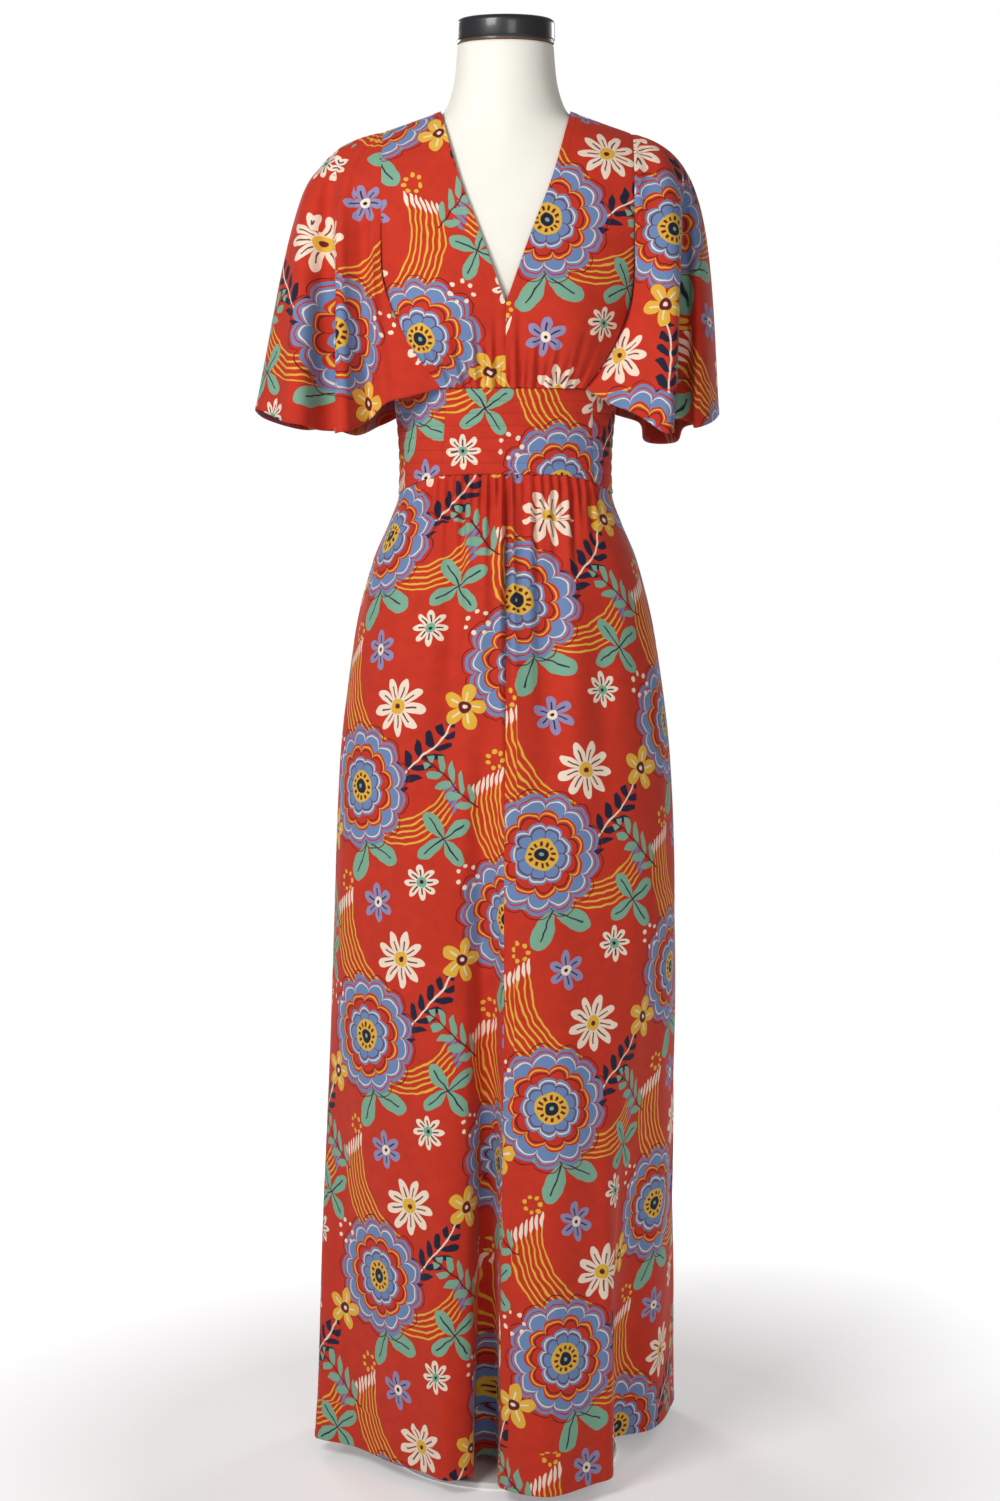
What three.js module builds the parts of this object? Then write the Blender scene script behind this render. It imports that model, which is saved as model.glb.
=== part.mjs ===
// A maxi dress with flutter sleeves, a stitched midriff band and a gathered skirt, worn by a plain
// limbless dress form on a pole and a round base. Millimetres, +Z up, -Y is the dress's front, and the
// origin is the middle of the base's flat underside. Every piece that is cut and sewn is its own mesh.
import * as THREE from "three";

// ---------------------------------------------------------------- driving dimensions
const SEAM = 0.3; // gap between neighbouring pieces
const CLOTH = 1.2; // wall of the dress cloth
const BAND_CLOTH = 1.8; // the midriff band is two layers stitched together
const CLOTH_LIFT = 5; // how far the bodice lies above the form
const LIFT_RISE = { from: 1340, over: 50 }; // heights over which the lift also raises the shoulders
const UNDER_LAP = 2.2; // how far the side panel's face lies under the bodice's

const HEM_HEIGHT = 18;
const BAND_TOP = 1182;
const BAND_FOOT = { front: 1092, side: 1070, back: 1080 };
const BAND = { half: 118, nearest: 85, skirtGap: 3 * SEAM, topGap: 1.5 * SEAM }; // nearest: least distance to the pole's axis
const BAND_SEAMS = { left: -72, right: 93 }; // where the front band panel ends, seen from the front
const NECK_POINT = 69; // half width between the two neck-to-shoulder points
const V_FOOT = 1270; // height of the V's point
const BACK_NECK_DROP = 20;
const UNDERARM = { height: 1332, dip: 12 };
const RIDGE = { low: 1404, high: 1478, halvings: 40 }; // heights between which the shoulder's ridge lies
// Nearer to the middle than out, the shoulder goes on at its slope and doesn't climb the neck. The bodice
// turns to it over these heights, and over the widths from inner to NECK_POINT.
const NECK_BASE = { out: 80, slope: 0.345, from: 1440, over: 24, inner: 45 };

const BUST = { apart: 76, height: 1238, spreadX: 44, spreadZ: 50, proud: 15 };

const CAP = { radius: 52.5, foot: 1546.5, height: 26, rounding: 6, chamfer: 2 };
const TORSO_FOOT = 792;
const POLE_RADIUS = 12.5;
const BASE = { radius: 125, rim: 5, bevelIn: 3, bevelUp: 2, coneFoot: 42, coneRise: 6, height: 24, hub: 26 };

// Sections of the form from the hip to the neck: half width, depth in front of and behind the pole's
// axis, and how square the section is. "ease" is what the cloth adds to the front besides its lift.
const FORM = [
  { z: 792, half: 140, front: 92, back: 108, power: 2.3, ease: 0 },
  { z: 860, half: 154, front: 102, back: 122, power: 2.3, ease: 0 },
  { z: 920, half: 150, front: 100, back: 118, power: 2.3, ease: 0 },
  { z: 980, half: 134, front: 91, back: 104, power: 2.3, ease: 0 },
  { z: 1040, half: 114, front: 81, back: 86, power: 2.3, ease: 0 },
  { z: 1090, half: 110, front: 81, back: 81, power: 2.3, ease: 1 },
  { z: 1150, half: 114, front: 86, back: 84, power: 2.3, ease: 2 },
  { z: 1182, half: 116, front: 88, back: 86, power: 2.3, ease: 4 },
  { z: 1215, half: 130, front: 95, back: 92, power: 2.3, ease: 7 },
  { z: 1240, half: 140, front: 99, back: 96, power: 2.35, ease: 7 },
  { z: 1272, half: 149, front: 101, back: 99, power: 2.35, ease: 5 },
  { z: 1310, half: 157, front: 98, back: 100, power: 2.3, ease: 3 },
  { z: 1346, half: 175, front: 91, back: 96, power: 2.2, ease: 1 },
  { z: 1381, half: 189, front: 83, back: 89, power: 2.1, ease: 0 },
  { z: 1400, half: 191, front: 78, back: 83, power: 2.0, ease: 0 },
  { z: 1416, half: 183, front: 73, back: 77, power: 1.8, ease: 0 },
  { z: 1432, half: 163, front: 68, back: 72, power: 1.6, ease: 0 },
  { z: 1447, half: 132, front: 65, back: 68, power: 1.5, ease: 0 },
  { z: 1459, half: 98, front: 62, back: 65, power: 1.6, ease: 0 },
  { z: 1470, half: 70, front: 60, back: 63, power: 1.9, ease: 0 },
  { z: 1490, half: 59, front: 56, back: 58, power: 2.0, ease: 0 },
  { z: 1512, half: 54, front: 53, back: 54, power: 2.0, ease: 0 },
  { z: 1546, half: 51, front: 51, back: 51, power: 2.0, ease: 0 },
];

// Sections of the smooth skirt, before its folds.
const SKIRT = [
  { z: 18, half: 205, front: 172, back: 188 },
  { z: 300, half: 196, front: 164, back: 176 },
  { z: 560, half: 189, front: 157, back: 165 },
  { z: 780, half: 180, front: 147, back: 153 },
  { z: 911, half: 164, front: 133, back: 140 },
  { z: 998, half: 143, front: 113, back: 119 },
  { z: 1041, half: 125, front: 96, back: 100 },
  { z: 1069, half: 115.5, front: 87, back: 88 },
  { z: 1092, half: 114, front: 86, back: 86 },
];
const SKIRT_POWER = 2.3;

// The skirt's folds, round from the left side over the front: where each crest or trough stands on the
// hem, the angle it comes from on the smooth section (0 is the front, 90 the right side), and the
// height at which it begins.
const SKIRT_FOLDS = [
  { at: "left side crest", x: -213, y: -7, angle: -90, rise: 760 },
  { at: "left side hollow", x: -168, y: -38, angle: -70, rise: 700 },
  { at: "left front panel", x: -118, y: -97, angle: -48, rise: 760 },
  { at: "left front hollow", x: -90, y: -118, angle: -35, rise: 800 },
  { at: "left front crest", x: -64, y: -146, angle: -24, rise: 900 },
  { at: "notch lip", x: -36, y: -132, angle: -13, rise: 980 },
  { at: "notch foot", x: -21, y: -76, angle: -6, rise: 1000 },
  { at: "centre seam", x: -9, y: -163, angle: 0, rise: 980 },
  { at: "right panel crown", x: 43, y: -195, angle: 14, rise: 900 },
  { at: "right panel side", x: 80, y: -170, angle: 25, rise: 820 },
  { at: "right fold edge", x: 110, y: -130, angle: 36, rise: 640 },
  { at: "recess inner wall", x: 103, y: -64, angle: 45, rise: 600 },
  { at: "recess foot", x: 119, y: -12, angle: 55, rise: 620 },
  { at: "right hollow", x: 164, y: 17, angle: 70, rise: 640 },
  { at: "right side crest", x: 190, y: 92, angle: 94, rise: 700 },
  { at: "right back corner", x: 194, y: 146, angle: 112, rise: 760 },
  { at: "back right crest", x: 150, y: 182, angle: 127, rise: 820 },
  { at: "back right trough", x: 112, y: 140, angle: 141, rise: 860 },
  { at: "back inner crest", x: 62, y: 192, angle: 156, rise: 900 },
  { at: "back middle trough", x: 18, y: 158, angle: 171, rise: 940 },
  { at: "back middle crest", x: -30, y: 194, angle: 186, rise: 900 },
  { at: "back left trough", x: -80, y: 150, angle: 201, rise: 880 },
  { at: "back left crest", x: -124, y: 184, angle: 215, rise: 840 },
  { at: "left back trough", x: -158, y: 126, angle: 229, rise: 780 },
  { at: "left back crest", x: -204, y: 98, angle: 245, rise: 740 },
  { at: "left back hollow", x: -192, y: 44, angle: 258, rise: 700 },
];
const SKIRT_SEAMS = { left: 0, centre: 7, right: 14 }; // rows of SKIRT_FOLDS that lie on a seam
const FOLD_START = 1.3; // how softly a fold begins
const SEAM_SHARE = 0.008; // half of a seam's gap, as a share of the way between two rows of SKIRT_FOLDS

// The half width of the neckline's V at each height.
const NECK_EDGE = [
  { z: V_FOOT, half: 0.2 },
  { z: 1345, half: 27 },
  { z: 1403, half: 49 },
  { z: 1474, half: NECK_POINT },
];

// The armhole seam on each side: straight down from the shoulder, then curving in to the band.
const ARMHOLE = {
  left: { side: -1, edge: 131, foot: 68, backFoot: 76, turn: 1320, bend: 1.9 },
  right: { side: 1, edge: 135.5, foot: 84, backFoot: 80, turn: 1310, bend: 2.1 },
};

// Fall lines of the sleeves from the front seam, over the outside, to the back seam: where each one
// bends over the shoulder, seen from above, and where it ends at the hem.
const SLEEVES = {
  left: [
    { at: "front seam", bendX: -132, bendY: -74, x: -68, y: -86, z: 1183 },
    { at: "lap over the band", bendX: -139, bendY: -76, x: -97, y: -89, z: 1175 },
    { at: "front panel", bendX: -145, bendY: -75, x: -126, y: -92, z: 1167 },
    { at: "front hollow", bendX: -154, bendY: -62, x: -143, y: -72, z: 1150 },
    { at: "front crest", bendX: -181, bendY: -62, x: -168, y: -106, z: 1136 },
    { at: "front trough", bendX: -194, bendY: -44, x: -190, y: -58, z: 1138 },
    { at: "outer panel", bendX: -214, bendY: -38, x: -224, y: -62, z: 1144 },
    { at: "outer corner", bendX: -229, bendY: -8, x: -268, y: -12, z: 1161 },
    { at: "outer back", bendX: -227, bendY: 22, x: -262, y: 38, z: 1150 },
    { at: "back panel", bendX: -208, bendY: 50, x: -222, y: 74, z: 1138 },
    { at: "back trough", bendX: -196, bendY: 54, x: -194, y: 60, z: 1140 },
    { at: "back crest", bendX: -176, bendY: 72, x: -165, y: 106, z: 1132 },
    { at: "back hollow", bendX: -152, bendY: 72, x: -140, y: 78, z: 1142 },
    { at: "back lap", bendX: -140, bendY: 78, x: -110, y: 96, z: 1158 },
    { at: "back seam", bendX: -132, bendY: 78, x: -76, y: 84, z: 1183 },
  ],
  right: [
    { at: "front seam", bendX: 137, bendY: -74, x: 84, y: -82, z: 1183 },
    { at: "lap over the band", bendX: 141, bendY: -77, x: 108, y: -90, z: 1168 },
    { at: "front panel", bendX: 153, bendY: -74, x: 140, y: -104, z: 1153 },
    { at: "front corner", bendX: 180, bendY: -70, x: 167, y: -118, z: 1135 },
    { at: "turned face", bendX: 199, bendY: -50, x: 174, y: -60, z: 1150 },
    { at: "deep trough", bendX: 196, bendY: -22, x: 182, y: -36, z: 1151 },
    { at: "trumpet crest", bendX: 209, bendY: -16, x: 200, y: -70, z: 1141 },
    { at: "trumpet side", bendX: 215, bendY: -4, x: 219, y: -46, z: 1147 },
    { at: "outer edge", bendX: 220, bendY: 14, x: 231, y: 10, z: 1156 },
    { at: "outer back", bendX: 213, bendY: 38, x: 222, y: 50, z: 1146 },
    { at: "back trough", bendX: 202, bendY: 54, x: 198, y: 62, z: 1142 },
    { at: "flap side", bendX: 186, bendY: 70, x: 189, y: 108, z: 1124 },
    { at: "flap", bendX: 168, bendY: 76, x: 157, y: 114, z: 1125 },
    { at: "back hollow", bendX: 154, bendY: 76, x: 148, y: 84, z: 1146 },
    { at: "back lap", bendX: 144, bendY: 79, x: 116, y: 96, z: 1158 },
    { at: "back seam", bendX: 137, bendY: 79, x: 80, y: 83, z: 1183 },
  ],
};
const SHOULDER_RUN = 16; // how far a sleeve drops before it bends
const SEAM_PULL = 3; // how many rows of a sleeve follow the line of its seam
const DEEPEST = 0.2; // least share of the shoulder's section at which a sunken point is pushed out
const SLEEVE_BELLY = { seam: 1300, outside: 1350 }; // height of the sleeve's lower control point

// How finely each piece is stepped.
const BACK_HALF = [0.14, 0.28, 0.4, 0.455, 0.49, 0.52, 0.56, 0.65, 0.76, 0.88, 1];
const FALL_STEPS = [0.012, 0.08, 0.18, 0.29, 0.4, 0.52, 0.64, 0.76, 0.88, 1];
const SKIRT_STEPS = [0, 0.14, 0.3, 0.46, 0.62, 0.74, 0.84, 0.91, 0.96, 1];
const FOLD_STEPS = 3;
const SLEEVE_STEPS = 2;
const BAND_ROWS = 3;
const PANEL_COLUMNS = 9;
const SIDE_ROWS = 5;
const ROUND_STEPS = 40;
const LONGEST_STEP = 45; // of the form, from one section to the next
const BAND_REACH = 0.01; // angle, and share of a row, by which a wall looks past its seams
const SKIRT_REACH = 0.02;

// Heights on the middle line that a wall of cloth is taken to wrap round.
const CORE = { bodice: 1300, side: 1250, band: 1130, skirt: 500 };

const finish = (name, color, roughness, metalness = 0) =>
  new THREE.MeshStandardMaterial({ name, color, roughness, metalness });
const PRINT = finish("printed crepe", 0xb93a24, 0.75);
const JERSEY = finish("cream jersey", 0xf6f1e2, 0.9);
const BLACK_WOOD = finish("black lacquered wood", 0x2b2a2c, 0.35);
const WHITE_STEEL = finish("white coated steel", 0xf2f1ee, 0.4, 0.1);

// ---------------------------------------------------------------- small tools
const mix = (a, b, t) => a + (b - a) * t;
const smoothStep = (t) => THREE.MathUtils.smoothstep(t, 0, 1);
const radians = (degrees) => (degrees * Math.PI) / 180;
const point = (x, y, z) => new THREE.Vector3(x, y, z);
const steps = (count) => Array.from({ length: count + 1 }, (_, i) => i / count);

// Slope of a column at a row, flat at a turning point, so that readings between rows never overshoot.
function slopeAt(table, column, row) {
  const rate = (i) => (table[i + 1][column] - table[i][column]) / (table[i + 1].z - table[i].z);
  if (row === 0) return rate(0);
  if (row === table.length - 1) return rate(row - 1);
  const below = rate(row - 1);
  const above = rate(row);
  return below * above <= 0 ? 0 : (2 * below * above) / (below + above);
}

// Smooth reading of a column of a table of sections at a height.
function reading(table, column, z) {
  const height = Math.min(Math.max(z, table[0].z), table[table.length - 1].z);
  let row = 0;
  while (row < table.length - 2 && table[row + 1].z < height) row += 1;
  const span = table[row + 1].z - table[row].z;
  const t = (height - table[row].z) / span;
  const t2 = t * t;
  const t3 = t2 * t;
  return (
    (2 * t3 - 3 * t2 + 1) * table[row][column] +
    (t3 - 2 * t2 + t) * span * slopeAt(table, column, row) +
    (3 * t2 - 2 * t3) * table[row + 1][column] +
    (t3 - t2) * span * slopeAt(table, column, row + 1)
  );
}

// A point of a rounded section at an angle from the front, towards +X.
function onSection(half, front, back, power, angle) {
  const s = Math.sin(angle);
  const c = Math.cos(angle);
  const depth = c > 0 ? front : back;
  return {
    x: half * Math.sign(s) * Math.abs(s) ** (2 / power),
    y: -depth * Math.sign(c) * Math.abs(c) ** (2 / power),
  };
}

// The depth of a rounded section at a distance from its middle.
function depthAt(half, depth, power, x) {
  const share = Math.min(Math.abs(x) / half, 1);
  return depth * (1 - share ** power) ** (1 / power);
}

// A point between two rows of a ring of points, on a smooth curve through all of them.
function through(points, row, t) {
  const n = points.length;
  const at = (i) => points[((i % n) + n) % n];
  return between(at(row - 1), at(row), at(row + 1), at(row + 2), t);
}

// The curve's stretch from b to c, with a before it and d after it. Tangents allow for uneven spacing.
function between(a, b, c, d, t) {
  const gap = (p, q) => Math.max(Math.sqrt(p.distanceTo(q)), 1e-3);
  const [ab, bc, cd] = [gap(a, b), gap(b, c), gap(c, d)];
  const leave = (axis) =>
    ((b[axis] - a[axis]) / ab - (c[axis] - a[axis]) / (ab + bc) + (c[axis] - b[axis]) / bc) * bc;
  const arrive = (axis) =>
    ((c[axis] - b[axis]) / bc - (d[axis] - b[axis]) / (bc + cd) + (d[axis] - c[axis]) / cd) * bc;
  const [t2, t3] = [t * t, t * t * t];
  const value = (axis) =>
    (2 * t3 - 3 * t2 + 1) * b[axis] +
    (t3 - 2 * t2 + t) * leave(axis) +
    (3 * t2 - 2 * t3) * c[axis] +
    (t3 - t2) * arrive(axis);
  return point(value("x"), value("y"), value("z"));
}

// ---------------------------------------------------------------- solids
function closedMesh(name, vertices, faces, material) {
  const geometry = new THREE.BufferGeometry();
  const numbers = vertices.flatMap((v) => v.toArray());
  geometry.setAttribute("position", new THREE.Float32BufferAttribute(numbers, 3));
  geometry.setIndex(faces.flat());
  geometry.computeVertexNormals();
  const mesh = new THREE.Mesh(geometry, material);
  mesh.name = name;
  return mesh;
}

// A wall of cloth: the outer face is pointAt over the columns and rows, and the inner face lies a
// thickness nearer to the core, which is a point that the cloth wraps round. Where the surface goes on
// past the piece's seams, reach is a step of u that looks past them, so that both sides are cut square.
function wall(name, columns, rows, pointAt, thickness, core, material, reach = 0) {
  const outer = columns.map((u) => rows.map((v) => pointAt(u, v)));
  const [nu, nv] = [columns.length, rows.length];
  const across = (i, j) =>
    reach
      ? pointAt(columns[i] + reach, rows[j]).sub(pointAt(columns[i] - reach, rows[j]))
      : outer[Math.min(i + 1, nu - 1)][j].clone().sub(outer[Math.max(i - 1, 0)][j]);
  const along = (i, j) =>
    outer[i][Math.min(j + 1, nv - 1)].clone().sub(outer[i][Math.max(j - 1, 0)]);
  const normal = (i, j) => across(i, j).cross(along(i, j)).normalize();
  const [mi, mj] = [nu >> 1, nv >> 1];
  const facing = Math.sign(normal(mi, mj).dot(outer[mi][mj].clone().sub(core)));
  const inner = outer.map((line, i) =>
    line.map((p, j) => p.clone().addScaledVector(normal(i, j), -facing * thickness)),
  );
  const vertices = [...outer.flat(), ...inner.flat()];
  const id = (i, j, side) => side * nu * nv + i * nv + j;
  const faces = [];
  const quad = (a, b, c, d) => faces.push(facing > 0 ? [a, b, c, a, c, d] : [a, c, b, a, d, c]);
  for (let i = 0; i < nu - 1; i += 1) {
    for (let j = 0; j < nv - 1; j += 1) {
      quad(id(i, j, 0), id(i + 1, j, 0), id(i + 1, j + 1, 0), id(i, j + 1, 0));
      quad(id(i, j, 1), id(i, j + 1, 1), id(i + 1, j + 1, 1), id(i + 1, j, 1));
    }
    quad(id(i, 0, 0), id(i, 0, 1), id(i + 1, 0, 1), id(i + 1, 0, 0));
    quad(id(i, nv - 1, 0), id(i + 1, nv - 1, 0), id(i + 1, nv - 1, 1), id(i, nv - 1, 1));
  }
  for (let j = 0; j < nv - 1; j += 1) {
    quad(id(0, j, 0), id(0, j + 1, 0), id(0, j + 1, 1), id(0, j, 1));
    quad(id(nu - 1, j, 0), id(nu - 1, j, 1), id(nu - 1, j + 1, 1), id(nu - 1, j + 1, 0));
  }
  return closedMesh(name, vertices, faces, material);
}

// A solid through level rings, closed by a flat face at each end.
function loft(name, rings, material) {
  const n = rings[0].length;
  const vertices = rings.flat();
  const faces = [];
  for (let r = 0; r < rings.length - 1; r += 1)
    for (let i = 0; i < n; i += 1) {
      const [a, b] = [r * n + i, r * n + ((i + 1) % n)];
      faces.push([a, b, b + n, a, b + n, a + n]);
    }
  const [foot, top] = [vertices.length, vertices.length + 1];
  vertices.push(point(0, 0, rings[0][0].z), point(0, 0, rings[rings.length - 1][0].z));
  const last = (rings.length - 1) * n;
  for (let i = 0; i < n; i += 1) {
    faces.push([foot, (i + 1) % n, i]);
    faces.push([top, last + i, last + ((i + 1) % n)]);
  }
  return closedMesh(name, vertices, faces, material);
}

function turned(name, profile, material, segments = 48) {
  const shape = new THREE.LatheGeometry(
    profile.map(([r, z]) => new THREE.Vector2(r, z)),
    segments,
  );
  shape.rotateX(Math.PI / 2);
  const mesh = new THREE.Mesh(shape, material);
  mesh.name = name;
  return mesh;
}

// ---------------------------------------------------------------- the figure
const bustAt = (x, z) =>
  BUST.proud *
  Math.exp(-(((Math.abs(x) - BUST.apart) / BUST.spreadX) ** 2) - ((z - BUST.height) / BUST.spreadZ) ** 2);

function formPoint(z, angle) {
  const read = (column) => reading(FORM, column, z);
  const p = onSection(read("half"), read("front"), read("back"), read("power"), angle);
  const chest = Math.cos(angle) > 0 ? bustAt(p.x, z) * Math.cos(angle) : 0;
  return point(p.x, p.y - chest, z);
}

// The bodice's section: the form's, let out by the cloth's lift and ease, and raised on the shoulders.
function bodiceSection(z) {
  const raised = CLOTH_LIFT * Math.min(Math.max((z - LIFT_RISE.from) / LIFT_RISE.over, 0), 1);
  const read = (column) => reading(FORM, column, z - raised);
  return {
    half: read("half") + CLOTH_LIFT,
    front: read("front") + CLOTH_LIFT + read("ease"),
    back: read("back") + CLOTH_LIFT,
    power: read("power"),
  };
}

// Where to read the bodice at a place, so that beside the neck it closes over the shoulder.
function besideNeck(x, z) {
  const out = Math.abs(x);
  if (out >= NECK_BASE.out) return [out, z];
  const { from, over, inner } = NECK_BASE;
  const turning = smoothStep((z - from) / over) * smoothStep((out - inner) / (NECK_POINT - inner));
  const rise = NECK_BASE.slope * (NECK_BASE.out - out);
  return [mix(out, NECK_BASE.out, turning), z - rise * turning];
}

function bodiceFrontY(x, z) {
  const [out, height] = besideNeck(x, z);
  const s = bodiceSection(height);
  const flat = depthAt(s.half, s.front, s.power, out);
  return -flat - bustAt(out, height) * Math.sqrt(Math.min(flat / s.front, 1));
}

function bodiceBackY(x, z) {
  const [out, height] = besideNeck(x, z);
  const s = bodiceSection(height);
  return depthAt(s.half, s.back, s.power, out);
}

// Height of the shoulder's ridge at a distance from the middle, found by halving.
function ridgeHeight(x) {
  const out = Math.max(Math.abs(x), NECK_BASE.out);
  let { low, high } = RIDGE;
  for (let i = 0; i < RIDGE.halvings; i += 1) {
    const middle = (low + high) / 2;
    if (bodiceSection(middle).half > out) low = middle;
    else high = middle;
  }
  return low + NECK_BASE.slope * (out - Math.abs(x));
}

// ---------------------------------------------------------------- the dress: bodice
function armholeX(hole, z, foot) {
  const t = Math.min(Math.max((hole.turn - z) / (hole.turn - BAND_TOP), 0), 1);
  return hole.edge - (hole.edge - foot) * t ** hole.bend;
}

const cubic = (a, b, c, d, t) =>
  a * (1 - t) ** 3 + 3 * b * t * (1 - t) ** 2 + 3 * c * t * t * (1 - t) + d * t ** 3;

const shoulderPoint = (hole) => point(hole.side * hole.edge, 0, ridgeHeight(hole.edge));

// Height on the armhole seam, from 0 at the shoulder to 1 at the band.
function seamHeight(hole, v) {
  const top = ridgeHeight(hole.edge);
  return cubic(top, top - SHOULDER_RUN, SLEEVE_BELLY.seam, BAND_TOP + 2 * SEAM, v);
}

// Share of the way from the band to the shoulder at each fall step.
function climb(hole, v) {
  const [top, foot] = [seamHeight(hole, 0), seamHeight(hole, 1)];
  return (seamHeight(hole, v) - foot) / (top - foot);
}

function bodiceFront(name, hole) {
  const core = point(0, 0, CORE.bodice);
  const at = (u, v) => {
    const top = ridgeHeight(mix(NECK_POINT, hole.edge, u));
    const z = mix(BAND_TOP + SEAM, top, climb(hole, v));
    const x = mix(reading(NECK_EDGE, "half", z) + SEAM / 2, armholeX(hole, z, hole.foot) - SEAM, u);
    return point(hole.side * x, Math.min(bodiceFrontY(x, z), -SEAM), z);
  };
  return wall(name, steps(PANEL_COLUMNS), [0, ...FALL_STEPS], at, CLOTH, core, PRINT);
}

function bodiceBack(name) {
  const core = point(0, 0, CORE.bodice);
  const at = (u, v) => {
    const hole = u < 0 ? ARMHOLE.left : ARMHOLE.right;
    const out = Math.abs(u) * hole.edge;
    const neck = ridgeHeight(NECK_POINT) - BACK_NECK_DROP * (1 - Math.min(out / NECK_POINT, 1) ** 3);
    const top = out < NECK_POINT ? neck : ridgeHeight(out);
    const z = mix(BAND_TOP + SEAM, top, climb(hole, v));
    const x = Math.abs(u) * (armholeX(hole, z, hole.backFoot) - SEAM);
    return point(hole.side * x, Math.max(bodiceBackY(x, z), SEAM), z);
  };
  const mirrored = BACK_HALF.map((u) => -u).reverse();
  return wall(name, [...mirrored, 0, ...BACK_HALF], [0, ...FALL_STEPS], at, CLOTH, core, PRINT);
}

// The panel under the arm, from the front armhole seam round the side to the back one.
function bodiceSide(name, hole) {
  const core = point(0, 0, CORE.side);
  const at = (u, v) => {
    const dip = UNDERARM.dip * Math.sin(Math.PI * u);
    const z = mix(BAND_TOP + SEAM, UNDERARM.height - dip, v);
    const s = bodiceSection(z);
    for (const side of ["half", "front", "back"]) s[side] -= UNDER_LAP;
    const angleOf = (x) => Math.asin(Math.min(x / s.half, 1) ** (s.power / 2));
    const frontAngle = angleOf(armholeX(hole, z, hole.foot) + 2 * SEAM);
    const backAngle = Math.PI - angleOf(armholeX(hole, z, hole.backFoot) + 2 * SEAM);
    const angle = mix(frontAngle, backAngle, u);
    const p = onSection(s.half, s.front, s.back, s.power, angle);
    const fullness = angle < Math.PI / 2 ? bustAt(p.x, z) * Math.sqrt(Math.cos(angle)) : 0;
    return point(hole.side * p.x, p.y - fullness, z);
  };
  return wall(name, steps(PANEL_COLUMNS), steps(SIDE_ROWS), at, CLOTH, core, PRINT);
}

// ---------------------------------------------------------------- the dress: sleeves
function sleeve(name, hole, table) {
  const top = shoulderPoint(hole);
  const last = table.length - 1;
  const seamPoint = (v, foot, surfaceY) => {
    const z = seamHeight(hole, v);
    const x = armholeX(hole, z, foot) + SEAM;
    return point(hole.side * x, surfaceY(x, z), z);
  };
  const bends = table.map((r) => point(r.bendX, r.bendY, 0));
  const hems = table.map((r) => point(r.x, r.y, r.z));
  const alongRows = (points, p) => {
    const row = Math.min(Math.floor(p), last - 1);
    const at = (i) => points[Math.min(Math.max(i, 0), last)];
    return between(at(row - 1), at(row), at(row + 1), at(row + 2), p - row);
  };
  const fall = (p, v) => {
    const bend = alongRows(bends, p);
    const hem = alongRows(hems, p);
    const outside = Math.sin((Math.PI * p) / last);
    const belly = mix(SLEEVE_BELLY.seam, SLEEVE_BELLY.outside, outside);
    return point(
      cubic(top.x, bend.x, bend.x, hem.x, v),
      cubic(top.y, bend.y, bend.y, hem.y, v),
      cubic(top.z, top.z - SHOULDER_RUN, belly, hem.z, v),
    );
  };
  // Cloth that would pass through the shoulder rests on it instead.
  const rested = (p) => {
    const s = bodiceSection(p.z);
    const depth = p.y < 0 ? -bodiceFrontY(0, p.z) : s.back;
    const inside = (Math.abs(p.x) / s.half) ** s.power + (Math.abs(p.y) / depth) ** s.power;
    const push = Math.max(inside, DEEPEST) ** (-1 / s.power);
    return push > 1 ? point(p.x * push, p.y * push, p.z) : p;
  };
  const at = (p, v) => {
    const here = fall(p, v);
    if (p < SEAM_PULL) {
      const seam = seamPoint(v, hole.foot, bodiceFrontY);
      here.addScaledVector(seam.sub(fall(0, v)), (1 - p / SEAM_PULL) ** 2);
    }
    if (p > last - SEAM_PULL) {
      const seam = seamPoint(v, hole.backFoot, bodiceBackY);
      here.addScaledVector(seam.sub(fall(last, v)), (1 - (last - p) / SEAM_PULL) ** 2);
    }
    return p > 0 && p < last ? rested(here) : here;
  };
  const columns = steps(last * SLEEVE_STEPS).map((t) => t * last);
  return wall(name, columns, FALL_STEPS, at, CLOTH, point(top.x, 0, CORE.bodice), PRINT);
}

// ---------------------------------------------------------------- the dress: band and skirt
function bandFoot(angle) {
  const level = Math.cos(angle) > 0 ? BAND_FOOT.front : BAND_FOOT.back;
  return mix(level, BAND_FOOT.side, Math.sin(angle) ** 4);
}

function bandPoint(angle, v) {
  const z = mix(bandFoot(angle), BAND_TOP - BAND.topGap, v);
  const waist = (column) => reading(SKIRT, column, z);
  const bodice = bodiceSection(z);
  const t = Math.min(Math.max((z - BAND_FOOT.front) / (BAND_TOP - BAND_FOOT.front), 0), 1);
  const p = onSection(
    mix(waist("half"), bodice.half, t),
    mix(waist("front"), bodice.front, t),
    mix(waist("back"), bodice.back, t),
    SKIRT_POWER,
    angle,
  );
  return point(p.x, p.y, z);
}

// The angle at which the band reaches a distance from the middle.
const bandAngle = (x) => Math.sign(x) * Math.asin((Math.abs(x) / BAND.half) ** (SKIRT_POWER / 2));

function bandPanel(name, from, to, count) {
  const gap = SEAM / 2 / BAND.nearest;
  const at = (u, v) => bandPoint(mix(from + gap, to - gap, u), v);
  const core = point(0, 0, CORE.band);
  return wall(name, steps(count), steps(BAND_ROWS), at, BAND_CLOTH, core, PRINT, BAND_REACH);
}

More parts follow.
